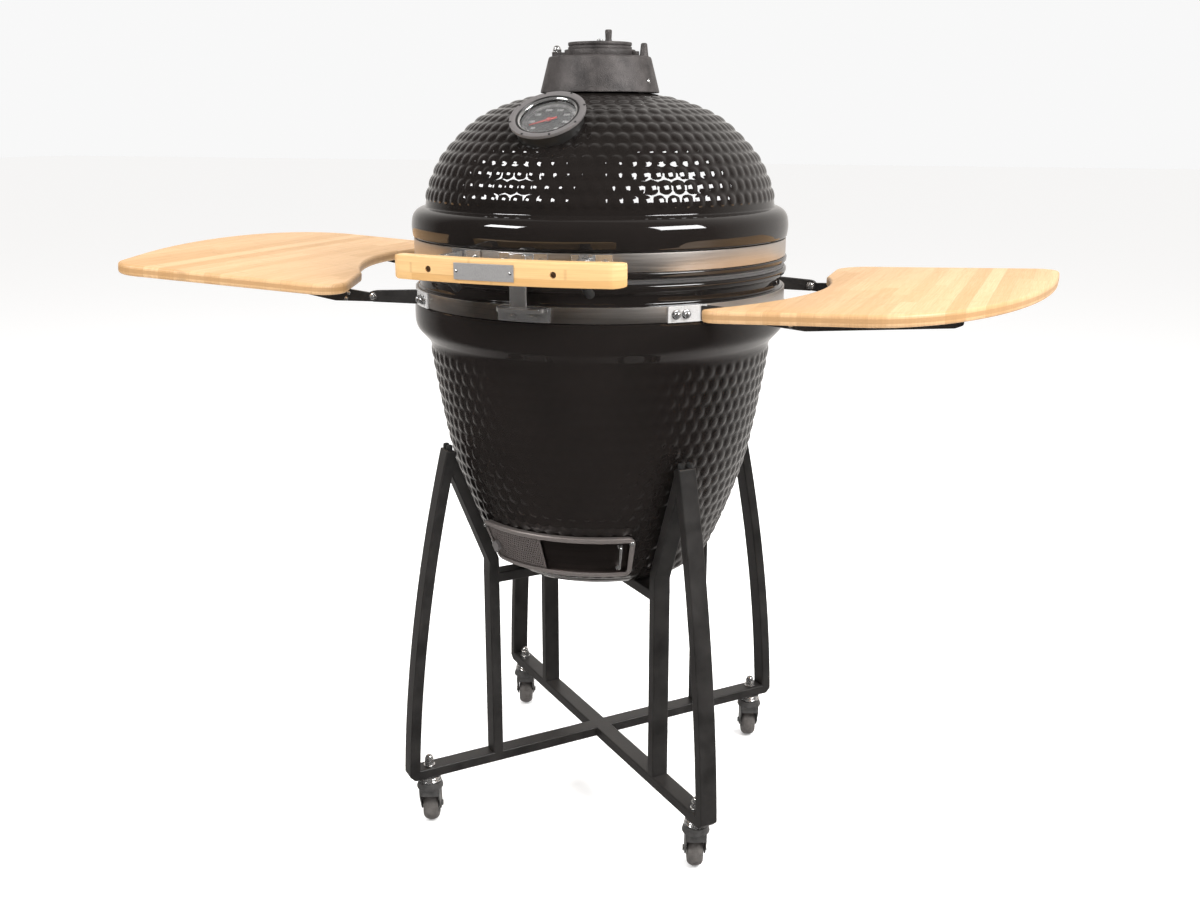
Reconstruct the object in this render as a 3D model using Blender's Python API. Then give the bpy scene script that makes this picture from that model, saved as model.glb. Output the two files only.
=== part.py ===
"""Kamado ceramic grill on a four-legged caster cart, as separate solids.

Metres, +Z up. The origin is on the grill's axis at the floor, the handle faces -Y and the
right-hand shelf is on +X. Every profile is (radius, height), every angle is in degrees
and an azimuth is measured from the front (-Y) towards +X.
"""

from math import atan2, cos, degrees, hypot, pi, radians, sin, sqrt

import bmesh
import bpy
from mathutils import Matrix, Vector

for old in list(bpy.data.objects):
    bpy.data.objects.remove(old, do_unlink=True)

# Driving dimensions.
GAP = 0.0003            # left between two pieces that touch
SEGMENTS = 36           # round a large turned piece
BAND_SEGMENTS = 64      # round the bands and what is shaped to fit them

FOOT_Z = 0.388          # underside of the ceramic base
BAND_R = 0.2665         # outside of both steel bands
BAND_T = 0.0025
BASE_BAND = (0.7840, 0.8050)
LID_BAND = (0.8488, 0.8726)
JOINT_Z = 0.8365        # where lid and base gaskets meet
DOME_TOP = 1.0680
FLUE_R = 0.055

CAP_R0, CAP_R1, CAP_Z0, CAP_Z1 = 0.0834, 0.0712, 1.0695, 1.1180
SLIDE_R, SLIDE_T = 0.0495, 0.0085
WHEEL_R, WHEEL_T = 0.0445, 0.0095
VENT_POST_R = 0.065

DRAFT_Z = (0.412, 0.477)
DRAFT_HALF = 35.5       # half the angle the draft frame spans
DRAFT_SPLIT = -4.0      # azimuth where the screen ends and the door begins
DRAFT_CLEAR = 0.0015    # so that the flat-sided frame clears the bowl's swell

GAUGE_AT = (-0.1870, 1.0410)   # y, z of the middle of its face
GAUGE_TILT = 56.0              # of its face's axis above level
GAUGE_R = 0.0505

HANDLE_Z = 0.8555
HANDLE_H = 0.0298
HANDLE_L = 0.307
HANDLE_FRONT = 0.3470          # distance of its front face from the axis, in the middle
HANDLE_BOW = 0.0185            # how far its ends stand behind its middle

SHELF_T = 0.0155
SHELF_TOP = 0.8115             # height of the right board's top over the pivots
SHELF_TILT = {"right": 1.7, "left": 5.5}
LEFT_TURN = radians(17.0)        # how far the left board is turned on its arms
SHELF_HALF = 0.260             # half its depth, front to back
SHELF_OUT = 0.6263
SHELF_BAY = 0.332              # radius of the hollow round the bowl
PIVOT_X, PIVOT_Z = 0.2760, 0.7920
ARM_Y = 0.170
ARM_T = 0.005

CART_YAW = 4.0                 # the bowl sits turned this much on its cart
TUBE_W, TUBE_T = 0.027, 0.016
BEAM_Z = 0.0810                # underside of the floor cross
POST_R = 0.182
SEAT_Z = FOOT_Z - GAP          # top of the upper cross
LEG_FOOT_R, LEG_TOP = 0.3245, (0.2505, 0.583)

STEM_R = 0.290
TYRE_R, TYRE_W = 0.025, 0.023
TRAIL = 0.014
ROLL_AZ = 201.0                # where the casters trail, as parked

HINGE_Y, HINGE_Z = 0.3135, 0.8365

COLORS = {
    "glaze": ((0.012, 0.010, 0.009), 0.08, 0.0),
    "fired_clay": ((0.55, 0.42, 0.30), 0.85, 0.0),
    "felt": ((0.05, 0.05, 0.048), 0.95, 0.0),
    "brushed_steel": ((0.62, 0.58, 0.54), 0.32, 1.0),
    "chrome": ((0.80, 0.80, 0.80), 0.10, 1.0),
    "cast_iron": ((0.055, 0.048, 0.045), 0.60, 0.6),
    "bamboo": ((0.74, 0.52, 0.30), 0.45, 0.0),
    "black_coat": ((0.018, 0.016, 0.015), 0.42, 0.0),
    "rubber": ((0.09, 0.08, 0.075), 0.70, 0.0),
    "dial_black": ((0.015, 0.015, 0.016), 0.60, 0.0),
    "needle_red": ((0.60, 0.04, 0.03), 0.45, 0.0),
    "glass": ((0.90, 0.92, 0.92), 0.03, 0.0),
    "grey_alloy": ((0.36, 0.35, 0.35), 0.38, 0.8),
    "dark_steel": ((0.24, 0.21, 0.20), 0.36, 1.0),
}


def material(name, look):
    color, roughness, metallic = COLORS[look]
    made = bpy.data.materials.new(name)
    made.use_nodes = True
    shader = made.node_tree.nodes["Principled BSDF"]
    shader.inputs["Base Color"].default_value = (*color, 1.0)
    shader.inputs["Roughness"].default_value = roughness
    shader.inputs["Metallic"].default_value = metallic
    made.diffuse_color = (*color, 1.0)
    return made


def put(name, shape, look=None, at=(0, 0, 0)):
    """An object made of this bmesh, with its origin moved to the given point."""
    bmesh.ops.translate(shape, verts=shape.verts, vec=-Vector(at))
    bmesh.ops.recalc_face_normals(shape, faces=shape.faces)
    mesh = bpy.data.meshes.new(name)
    shape.to_mesh(mesh)
    shape.free()
    made = bpy.data.objects.new(name, mesh)
    made.location = at
    bpy.context.scene.collection.objects.link(made)
    if look:
        mesh.materials.append(material(name, look))
    return made


def helper(name, shape):
    made = put(name, shape)
    made.hide_render = True
    made.display_type = "WIRE"
    return made


def build(name, look, shapes, cuts=(), at=(0, 0, 0)):
    """One solid: the first shape, with the others added and then the cuts taken away."""
    made = put(name, shapes[0], look, at)
    for kind, group in (("UNION", shapes[1:]), ("DIFFERENCE", cuts)):
        if not group:
            continue
        held = bpy.data.collections.new(f"{name}_{kind.lower()}")
        bpy.context.scene.collection.children.link(held)
        for i, shape in enumerate(group):
            tool = helper(f"{name}_{kind.lower()}_{i}", shape)
            bpy.context.scene.collection.objects.unlink(tool)
            held.objects.link(tool)
        step = made.modifiers.new(kind.title(), "BOOLEAN")
        step.operation, step.solver = kind, "EXACT"
        step.operand_type, step.collection = "COLLECTION", held
    return made


def axis_turn(axis):
    return Vector((0, 0, 1)).rotation_difference(Vector(axis).normalized()).to_matrix().to_4x4()


def moved(shape, turn=None, to=(0, 0, 0)):
    matrix = Matrix.Translation(to) @ (turn if turn is not None else Matrix.Identity(4))
    bmesh.ops.transform(shape, matrix=matrix, verts=shape.verts)
    return shape


def azimuth(shape, angle):
    """Turned so that what pointed to the front (-Y) points to this azimuth."""
    return moved(shape, Matrix.Rotation(radians(angle), 4, "Z"))


def loft(rings, loop=False):
    """Faces between rings of equal length, closed with flat ends unless it loops."""
    shape = bmesh.new()
    rows = [[shape.verts.new(p) for p in ring] for ring in rings]
    count = len(rows[0])
    pairs = list(zip(rows, rows[1:] + ([rows[0]] if loop else [])))
    for low, high in pairs:
        for i in range(count):
            j = (i + 1) % count
            shape.faces.new((low[i], low[j], high[j], high[i]))
    if not loop:
        shape.faces.new(rows[0][::-1])
        shape.faces.new(rows[-1])
    return shape


def turned(profile, segments=SEGMENTS):
    """A closed (radius, height) outline turned about Z. It may have an edge on the axis."""
    shape = bmesh.new()
    columns = []
    for k in range(segments):
        a = 2 * pi * k / segments
        columns.append([None if r < 1e-6 else shape.verts.new((r * sin(a), -r * cos(a), z))
                        for r, z in profile])
    poles = [shape.verts.new((0, 0, z)) if r < 1e-6 else None for r, z in profile]
    count = len(profile)
    for k in range(segments):
        here, there = columns[k], columns[(k + 1) % segments]
        for i in range(count):
            j = (i + 1) % count
            corners = [here[i] or poles[i], here[j] or poles[j],
                       there[j] or poles[j], there[i] or poles[i]]
            corners = list(dict.fromkeys(corners))
            if len(corners) > 2:
                shape.faces.new(corners)
    return shape


def prism(outline, low, high, normal="Z"):
    """A flat outline given thickness along X, Y or Z. The outline is in the other two, in order."""
    put_in = {"X": lambda p, h: (h, p[0], p[1]), "Y": lambda p, h: (p[0], h, p[1]),
              "Z": lambda p, h: (p[0], p[1], h)}[normal]
    return loft([[put_in(p, h) for p in outline] for h in (low, high)])


def block(x, y, z):
    return prism([(x[0], y[0]), (x[1], y[0]), (x[1], y[1]), (x[0], y[1])], *z)


def rod(start, end, radius, sides=10, end_radius=None):
    start, end = Vector(start), Vector(end)
    turn = axis_turn(end - start)
    rings = []
    for at, r in ((start, radius), (end, end_radius or radius)):
        rings.append([at + turn @ Vector((r * cos(2 * pi * k / sides), r * sin(2 * pi * k / sides), 0))
                      for k in range(sides)])
    return loft(rings)


def bent_rod(points, radius, sides=8):
    """A round bar along a line of points."""
    points = [Vector(p) for p in points]
    rings, side = [], None
    for i, p in enumerate(points):
        along = (points[min(i + 1, len(points) - 1)] - points[max(i - 1, 0)]).normalized()
        side = (side or along.orthogonal())
        side = (side - along * side.dot(along)).normalized()
        across = along.cross(side)
        rings.append([p + radius * (side * cos(2 * pi * k / sides) + across * sin(2 * pi * k / sides))
                      for k in range(sides)])
    return loft(rings)


def nut(at, axis, across=0.010, height=0.007, dome=0.004):
    """An acorn nut: a hexagon under a dome."""
    shape = turned([(0, 0), (across / sqrt(3), 0), (across / sqrt(3), height), (across * 0.45, height),
                    (across * 0.32, height + dome * 0.75), (0, height + dome)], 6)
    return moved(shape, axis_turn(axis), at)


def curve(points, steps=5):
    """A smooth line through the points, with this many steps between each two."""
    ends = [2 * Vector(points[0]) - Vector(points[1]), *map(Vector, points),
            2 * Vector(points[-1]) - Vector(points[-2])]
    line = []
    for a, b, c, d in zip(ends, ends[1:], ends[2:], ends[3:]):
        for k in range(steps):
            t = k / steps
            line.append(0.5 * (2 * b + (c - a) * t + (2 * a - 5 * b + 4 * c - d) * t * t
                               + (3 * b - a - 3 * c + d) * t ** 3))
    return [tuple(p) for p in line] + [tuple(ends[-2])]


def bezier(p0, p1, p2, p3, steps):
    result = []
    for k in range(steps + 1):
        t = k / steps
        weights = ((1 - t) ** 3, 3 * t * (1 - t) ** 2, 3 * t * t * (1 - t), t ** 3)
        result.append(tuple(sum(w * p[i] for w, p in zip(weights, (p0, p1, p2, p3))) for i in (0, 1)))
    return result


def arc(middle, radius, start, end, steps):
    """Points on a circle, with angles from +X."""
    return [(middle[0] + radius * cos(radians(start + (end - start) * k / steps)),
             middle[1] + radius * sin(radians(start + (end - start) * k / steps)))
            for k in range(steps + 1)]


def inward(line, thickness):
    """The line moved sideways to its left, as a wall's other face."""
    result = []
    for i, p in enumerate(line):
        a, b = line[max(i - 1, 0)], line[min(i + 1, len(line) - 1)]
        length = hypot(b[0] - a[0], b[1] - a[1])
        result.append((p[0] - (b[1] - a[1]) / length * thickness, p[1] + (b[0] - a[0]) / length * thickness))
    return result


def on_wall(r, angle, z=0.0):
    return Vector((r * sin(radians(angle)), -r * cos(radians(angle)), z))


# Ceramic

BOWL = curve([(0.150, 0.3985), (0.1660, 0.4150), (0.1960, 0.4860), (0.2220, 0.5690),
              (0.2410, 0.6743), (0.2480, 0.7240)], 2)
DOME = curve([(0.2500, 0.9165), (0.2465, 0.9350), (0.2240, 0.9850), (0.1960, 1.0155),
              (0.1675, 1.0385), (0.1300, 1.0550), (0.0850, DOME_TOP - 0.0005)], 2)


def bowl_radius(z):
    for (r0, z0), (r1, z1) in zip(BOWL, BOWL[1:]):
        if z0 <= z <= z1:
            return r0 + (r1 - r0) * (z - z0) / (z1 - z0)
    return BOWL[0][0]


def base_shell():
    outer = [(0.118, FOOT_Z), (0.135, 0.3900), *BOWL, (0.2540, 0.7330), (0.2650, 0.7480),
             (0.2685, 0.7600), (0.2685, 0.7825), (0.2636, 0.7835), (0.2636, 0.8060), (0.2600, 0.8075),
             (0.2600, 0.8205), (0.2650, 0.8230), (0.2672, 0.8290), (0.2660, 0.8330)]
    inner = [(0.2360, 0.8330), (0.2330, 0.7900), (0.2250, 0.7240), (0.2160, 0.6743), (0.1970, 0.5690),
             (0.1700, 0.4860), (0.1430, 0.4260), (0.1300, 0.4140), (0.0, 0.4140)]
    port = wall_sector(0.10, 0.24, 0.423, 0.466, -24, 24)
    build("base_shell", "glaze", [turned([(0, FOOT_Z), *outer, *inner])], [port])


def lid_shell():
    outer = [(0.2660, 0.8400), (0.2685, 0.8440), (0.2685, 0.8478), (0.2636, 0.8486), (0.2636, 0.8728),
             (0.2680, 0.8745), (0.2695, 0.8900), (0.2680, 0.9010), (0.2610, 0.9110), (0.2520, 0.9155),
             *DOME, (0.0800, DOME_TOP), (FLUE_R, DOME_TOP)]
    inner = [(FLUE_R, 1.0420), (0.1180, 1.0330), (0.1500, 1.0190), (0.1760, 0.9960), (0.2020, 0.9680),
             (0.2250, 0.9300), (0.2340, 0.8900), (0.2360, 0.8400)]
    axis = gauge_axis()
    centre = Vector((0, *GAUGE_AT))
    bore = rod(centre - axis * 0.080, centre + axis * 0.03, 0.0450 + GAP, 32)
    build("lid_shell", "glaze", [turned(outer + inner)], [bore], at=(0, HINGE_Y, HINGE_Z))


def wall_sector(r0, r1, z0, z1, a0, a1, steps=8, lean=0.0):
    """A block bent round the axis. Its top stands further out than its bottom by lean."""
    rings = []
    for k in range(steps + 1):
        a = a0 + (a1 - a0) * k / steps
        rings.append([on_wall(r0, a, z0), on_wall(r1, a, z0), on_wall(r1 + lean, a, z1),
                      on_wall(r0 + lean, a, z1)])
    return loft(rings)


def firebox():
    outer = [(0.128, 0.4145), (0.1340, 0.4230), (0.1610, 0.4860), (0.1880, 0.5690), (0.2040, 0.6680)]
    inner = [(0.1840, 0.6680), (0.1680, 0.5690), (0.1420, 0.4940), (0.1180, 0.4860), (0.1010, 0.4860),
             (0.1010, 0.4800), (0.0860, 0.4800), (0.0860, 0.4360), (0, 0.4360)]
    mouth = wall_sector(0.06, 0.22, 0.438, 0.464, -22, 22)
    build("firebox", "fired_clay", [turned([(0, 0.4145), *outer, *inner])], [mouth])


def fire_ring():
    profile = [(0.1890, 0.6683), (0.2080, 0.6683), (0.2140, 0.7400), (0.1960, 0.7400)]
    build("fire_ring", "fired_clay", [turned(profile)])


def charcoal_grate():
    plate = turned([(0, 0.4803), (0.0995, 0.4803), (0.0995, 0.4880), (0, 0.4880)], 32)
    slots = []
    for ring, count, length in ((0.036, 6, 0.030), (0.074, 14, 0.034)):
        for k in range(count):
            slot = block((-0.0045, 0.0045), (-ring - length / 2, -ring + length / 2), (0.47, 0.50))
            slots.append(azimuth(slot, 360 * k / count))
    build("charcoal_grate", "cast_iron", [plate], slots)


def cooking_grid():
    z, rim = 0.7455, 0.2180
    frame = turned([(rim - 0.004, z - 0.004), (rim + 0.003, z - 0.004), (rim + 0.003, z + 0.003),
                    (rim - 0.004, z + 0.003)], 32)
    bars = []
    for k in range(-11, 12):
        x = 0.0180 * k
        reach = sqrt(rim ** 2 - x ** 2) + 0.0005
        bars.append(block((x - 0.002, x + 0.002), (-reach, reach), (z - 0.002, z + 0.002)))
    for y in (-0.1, 0.1):
        reach = sqrt(rim ** 2 - y ** 2) + 0.0005
        bars.append(block((-reach, reach), (y - 0.003, y + 0.003), (z - 0.0045, z + 0.0005)))
    build("cooking_grid", "chrome", [frame, *bars])


def gaskets():
    for name, low, high in (("base_gasket", 0.8333, JOINT_Z - GAP / 2), ("lid_gasket", JOINT_Z + GAP / 2, 0.8397)):
        at = (0, HINGE_Y, HINGE_Z) if name == "lid_gasket" else (0, 0, 0)
        build(name, "felt", [turned([(0.2380, low), (0.2640, low), (0.2640, high), (0.2380, high)])], at=at)


# Bands and the hinge at the back

def bands():
    for name, (low, high) in (("base_band", BASE_BAND), ("lid_band", LID_BAND)):
        at = (0, HINGE_Y, HINGE_Z) if name == "lid_band" else (0, 0, 0)
        inside = BAND_R - BAND_T
        profile = [(inside, low), (BAND_R, low), (BAND_R, high), (inside, high)]
        build(name, "brushed_steel", [turned(profile, BAND_SEGMENTS)], at=at)


def band_skin():
    """What a bracket's foot is cut to, so that it sits on a band all over."""
    return turned([(0, 0.70), (BAND_R + GAP, 0.70), (BAND_R + GAP, 0.95), (0, 0.95)], BAND_SEGMENTS)


def hinge():
    pin_at = (0, HINGE_Y, HINGE_Z)
    plate = wall_sector(BAND_R + GAP, BAND_R + 0.0033, BASE_BAND[0], BASE_BAND[1], 166, 194, 8)
    shapes = [plate]
    for side in (-1, 1):
        ear = [(0.2600, 0.7850), (0.2900, 0.7850), (0.3497, 0.8290), (0.3497, 0.8440),
               (0.3235, 0.8480), (0.3035, 0.8480), (0.2960, 0.8400), (0.2890, 0.8050), (0.2600, 0.8040)]
        x = side * 0.0560
        shapes.append(prism(ear, x - 0.0015, x + 0.0015, "X"))
        shapes.append(nut(on_wall(BAND_R + 0.003, 180 + side * 5, 0.7945), on_wall(1, 180 + side * 5)))
    bore = rod((-0.08, HINGE_Y, HINGE_Z), (0.08, HINGE_Y, HINGE_Z), 0.0040 + GAP, 16)
    build("hinge_lower_bracket", "brushed_steel", shapes, [bore, band_skin()])

    plate = wall_sector(BAND_R + GAP, BAND_R + 0.0033, LID_BAND[0], LID_BAND[1], 168, 192, 8)
    shapes = [plate]
    for side in (-1, 1):
        arm = [(0.2630, 0.8500), (0.2960, 0.8270), (0.3135, 0.8235), *arc((HINGE_Y, HINGE_Z), 0.0130, -80, 80, 6),
               (0.3000, 0.8700), (0.2630, 0.8710)]
        x = side * 0.0470
        shapes.append(prism(arm, x - 0.0015, x + 0.0015, "X"))
        shapes.append(nut(on_wall(BAND_R + 0.003, 180 + side * 5, 0.8607), on_wall(1, 180 + side * 5)))
    bore = rod((-0.08, HINGE_Y, HINGE_Z), (0.08, HINGE_Y, HINGE_Z), 0.0040 + GAP, 16)
    build("hinge_upper_bracket", "brushed_steel", shapes, [bore, band_skin()], at=pin_at)

    pin = rod((-0.0600, HINGE_Y, HINGE_Z), (0.0600, HINGE_Y, HINGE_Z), 0.0040, 16)
    heads = [rod((s * 0.0580, HINGE_Y, HINGE_Z), (s * 0.0630, HINGE_Y, HINGE_Z), 0.0070, 12) for s in (-1, 1)]
    build("hinge_pin", "chrome", [pin, *heads])

    for name, side in (("hinge_spring_left", -1), ("hinge_spring_right", 1)):
        build(name, "chrome", [spring(side)])


def spring(side, turns=4, wire=0.0016, radius=0.0078, pitch=0.0048):
    """A torsion spring round the hinge pin, with one leg on each bracket's plate."""
    start = side * 0.0200
    points = [(start, HINGE_Y - 0.0300, HINGE_Z + radius + 0.006), (start, HINGE_Y - 0.006, HINGE_Z + radius)]
    for k in range(turns * 6 + 1):
        a = 2 * pi * k / 6
        points.append((start + side * pitch * k / 6, HINGE_Y + radius * sin(a), HINGE_Z + radius * cos(a)))
    end = start + side * pitch * turns
    points.append((end + side * 0.0005, HINGE_Y - 0.0200, HINGE_Z + radius - 0.0150))
    return bent_rod(points, wire, 5)


# Handle and closure at the front

def handle_line(offset, steps=8):
    """Points along the bar in plan, this far in from its front face."""
    half = HANDLE_L / 2
    return [(half * t, -(HANDLE_FRONT - offset) + HANDLE_BOW * t * t)
            for t in (2 * k / steps - 1 for k in range(steps + 1))]


def handle():
    depth, edge = 0.0240, 0.004
    front, back = handle_line(0.0), handle_line(depth)
    rings = []
    low, high = HANDLE_Z - HANDLE_H / 2, HANDLE_Z + HANDLE_H / 2
    for (fx, fy), (bx, by) in zip(front, back):
        rings.append([Vector(p) for p in (
            (fx, fy + edge, low), (bx, by - edge, low), (bx, by, low + edge), (bx, by, high - edge),
            (bx, by - edge, high), (fx, fy + edge, high), (fx, fy, high - edge), (fx, fy, low + edge))])
    screws = []
    for x in (-0.0953, 0.0730):
        y = -HANDLE_FRONT + HANDLE_BOW * (2 * x / HANDLE_L) ** 2
        screws.append(rod((x, y - 0.02, HANDLE_Z), (x, y + 0.007, HANDLE_Z), 0.0040, 8))
    hinge_at = (0, HINGE_Y, HINGE_Z)
    build("handle_grip", "bamboo", [loft(rings)], screws, at=hinge_at)

    y = -HANDLE_FRONT - 0.0004
    plate = block((-0.0570, 0.0240), (y - 0.0010, y), (HANDLE_Z - 0.0102, HANDLE_Z + 0.0102))
    face = [moved(nut((x, y - 0.0008, HANDLE_Z), (0, -1, 0), 0.004, 0.0005, 0.0010)) for x in (-0.0530, 0.0200)]
    build("handle_plate", "brushed_steel", [plate, *face], at=hinge_at)

    for name, side in (("handle_bracket_left", -1), ("handle_bracket_right", 1)):
        build(name, "chrome", handle_bracket(side), [band_skin()], at=hinge_at)


def handle_bracket(side):
    """A bent strap from the lid's band to the bar's back, with a rubber-tipped stop below."""
    a = side * 19.0
    x = side * 0.0920
    foot = wall_sector(BAND_R + GAP, BAND_R + 0.0033, LID_BAND[0] + 0.001, LID_BAND[1] - 0.001,
                       a - 5.5, a + 5.5, 4)
    (xa, ya), (xb, yb) = [(s, -HANDLE_FRONT + 0.0247 + HANDLE_BOW * (s / (HANDLE_L / 2)) ** 2)
                          for s in (x - 0.0100, x + 0.0100)]
    y1 = (ya + yb) / 2
    web = block((x - 0.0015, x + 0.0015), (y1 + 0.0003, -0.2530), (0.8510, 0.8705))
    flange = prism([(xa, ya), (xb, yb), (xb, yb + 0.0027), (xa, ya + 0.0027)], 0.8440, 0.8700)
    leg = rod((x, y1 + 0.0020, 0.8495), (x, y1 + 0.0300, 0.8340), 0.0045, 10)
    tip = rod((x, y1 + 0.0260, 0.8362), (x, y1 + 0.0460, 0.8235), 0.0060, 12)
    bolts = [nut(on_wall(BAND_R + 0.003, a + s * 3.6, 0.8607), on_wall(1, a + s * 3.6), 0.008, 0.005, 0.003)
             for s in (-1, 1)]
    return [foot, web, flange, leg, tip, *bolts]


def closure():
    """The guide post on the lid and the strap on the base that it drops into."""
    y = -0.2860
    post = block((-0.0105, 0.0105), (y, y + 0.0040), (0.7985, 0.8720))
    ribs = [rod((x, y + 0.0010, 0.7990), (x, y + 0.0010, 0.8715), 0.0032, 10) for x in (-0.0085, 0.0085)]
    foot = wall_sector(BAND_R + GAP, BAND_R + 0.0033, LID_BAND[0] + 0.001, LID_BAND[1] - 0.001, -7, 7, 6)
    web = block((-0.0100, 0.0100), (y + 0.002, -0.2600), (0.8530, 0.8690))
    bolts = [nut(on_wall(BAND_R + 0.003, s * 5.2, 0.8607), on_wall(1, s * 5.2), 0.008, 0.005, 0.003) for s in (-1, 1)]
    build("closure_post", "chrome", [post, *ribs, foot, web, *bolts], [band_skin()], at=(0, HINGE_Y, HINGE_Z))

    foot = wall_sector(BAND_R + GAP, BAND_R + 0.0033, BASE_BAND[0] + 0.001, BASE_BAND[1] + 0.001, -7.8, 7.8, 8)
    outer = [(-0.0340, -0.2640), *arc((-0.0140, -0.2740), 0.0200, 180, 250, 4),
             *arc((0.0140, -0.2740), 0.0200, 290, 360, 4), (0.0340, -0.2640)]
    strap = prism(outer, 0.7995, 0.8045)
    hole = block((-0.0150, 0.0150), (-0.2915, -0.2775), (0.79, 0.81))
    bolts = [nut(on_wall(BAND_R + 0.003, s * 3.0, 0.7920), on_wall(1, s * 3.0), 0.008, 0.005, 0.003) for s in (-1, 1)]
    build("closure_receiver", "chrome", [foot, strap, *bolts], [hole, band_skin()])


# Thermometer on the dome

def gauge_axis():
    tilt = radians(GAUGE_TILT)
    return Vector((0, -cos(tilt), sin(tilt)))


def gauge():
    axis, centre = gauge_axis(), Vector((0, *GAUGE_AT))
    turn = axis_turn(axis)
    hinge_at = (0, HINGE_Y, HINGE_Z)

    def on_dial(profile, segments=28):
        return moved(turned(profile, segments), turn, centre)

    case = on_dial([(0.0050, -0.0300), (0.0450, -0.0300), (0.0450, -0.0045), (GAUGE_R, -0.0045), (GAUGE_R, 0),
                    (0.0405, 0), (0.0390, -0.0070), (0.0390, -0.0160), (0.0050, -0.0160)])
    probe = on_dial([(0, -0.0950), (0.0040, -0.0930), (0.0060, -0.0300), (0.0060, -0.0200), (0, -0.0200)], 12)
    screws = []
    for k in range(8):
        a = 2 * pi * (k + 0.5) / 8
        at = centre + turn @ Vector((0.0452 * cos(a), 0.0452 * sin(a), -0.0008))
        screws.append(rod(at, at + axis * 0.0012, 0.0016, 8))
    build("gauge_case", "grey_alloy", [case, probe, *screws], at=hinge_at)
    build("gauge_dial", "dial_black", [on_dial([(0.0022, -0.0130), (0.0385, -0.0130), (0.0385, -0.0115),
                                                (0.0022, -0.0115)])], at=hinge_at)
    needle = moved(prism([(-0.0020, -0.0110), (0.0020, -0.0110), (0.0005, 0.0260), (-0.0005, 0.0260)],
                         -0.0105, -0.0097), Matrix.Rotation(radians(118), 4, "Z"))
    hub = turned([(0, -0.0130), (0.0018, -0.0130), (0.0018, -0.0112), (0.0035, -0.0110), (0.0035, -0.0088),
                  (0, -0.0088)], 16)
    build("gauge_needle", "needle_red", [moved(hub, turn, centre), moved(needle, turn, centre)],
          at=centre)
    build("gauge_glass", "glass", [on_dial([(0, -0.0062), (0.0386, -0.0062), (0.0386, -0.0045), (0, -0.0045)])],
          at=hinge_at)


# Top vent

def petals(inner, outer, count=5, turn=0.0):
    """Cutters for a ring of petal-shaped holes."""
    half = 180 / count / 2 - 2
    return [azimuth(wall_sector(inner, outer, 1.10, 1.16, -half, half, 4), turn + 360 * k / count)
            for k in range(count)]


def top_vent():
    hinge_at = (0, HINGE_Y, HINGE_Z)
    wall = 0.0065
    body = turned([(0.0500, 1.0450), (FLUE_R - 0.001, 1.0450), (FLUE_R - 0.001, CAP_Z0 - 0.001),
                   (0.0790, CAP_Z0), (CAP_R0, CAP_Z0), (CAP_R0, CAP_Z0 + 0.0020), (CAP_R1 + 0.0006, CAP_Z1 - 0.0020),
                   (CAP_R1 - 0.0010, CAP_Z1), (0.0400, CAP_Z1), (0.0400, CAP_Z1 - wall),
                   (CAP_R1 - wall - 0.002, CAP_Z1 - wall), (0.0640, 1.0800), (0.0500, 1.0720)], 36)
    boss = rod((VENT_POST_R, 0, CAP_Z1 - 0.002), (VENT_POST_R - 0.001, 0, CAP_Z1 + 0.0170), 0.0060, 12, 0.0042)
    post = rod((-VENT_POST_R, 0, CAP_Z1 - 0.002), (-VENT_POST_R, 0, CAP_Z1 + 0.0002), 0.0068, 12)
    stud = rod((-VENT_POST_R, 0, CAP_Z1 - 0.002), (-VENT_POST_R, 0, CAP_Z1 + 0.0100), 0.0028, 12)
    build("vent_cap", "cast_iron", [body, boss, post, stud], at=hinge_at)

    low = CAP_Z1 + 2 * GAP
    high = low + SLIDE_T
    disc = turned([(0, low), (SLIDE_R, low), (SLIDE_R, high), (0, high)], 32)
    lug = prism([*arc((-VENT_POST_R, 0), 0.0070, 90, 270, 8), (-0.0400, -0.0110), (-0.0400, 0.0110)], low, low + 0.0060)
    tab = block((0.0450, 0.0570), (-0.0050, 0.0040), (low, low + 0.0060))
    hub = rod((0, 0, high - 0.001), (0, 0, high + WHEEL_T + 0.0015), 0.0040, 12)
    head = nut((0, 0, high + WHEEL_T + 0.0006), (0, 0, 1), 0.0100, 0.0030, 0.0020)
    bore = rod((-VENT_POST_R, 0, 1.10), (-VENT_POST_R, 0, 1.14), 0.0031, 12)
    build("vent_slide_plate", "cast_iron", [disc, lug, tab, hub, head],
          [bore, *petals(0.0120, 0.0350)], at=(-VENT_POST_R, 0, low))

    low = high + GAP
    high = low + WHEEL_T
    disc = turned([(0.0043, low), (WHEEL_R, low), (WHEEL_R, low + 0.0040), (WHEEL_R - 0.0012, low + 0.0046),
                   (WHEEL_R, low + 0.0052), (WHEEL_R, high), (0.0043, high)], 32)
    knob = azimuth(rod((0, -0.0300, high - 0.001), (0, -0.0300, high + 0.0155), 0.0045, 12, 0.0048), 44)
    build("daisy_wheel", "cast_iron", [disc, knob], petals(0.0120, 0.0350, turn=36), at=(0, 0, low))

    at = (-VENT_POST_R, 0, CAP_Z1 + 0.0075)
    cap = nut((at[0], 0, at[2]), (0, 0, 1), 0.0110, 0.0045, 0.0050)
    hole = rod((at[0], 0, 1.10), (at[0], 0, CAP_Z1 + 0.0103), 0.0031, 12)
    build("vent_pivot_nut", "chrome", [cap], [hole], at=hinge_at)


# Draft door at the bottom

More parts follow.
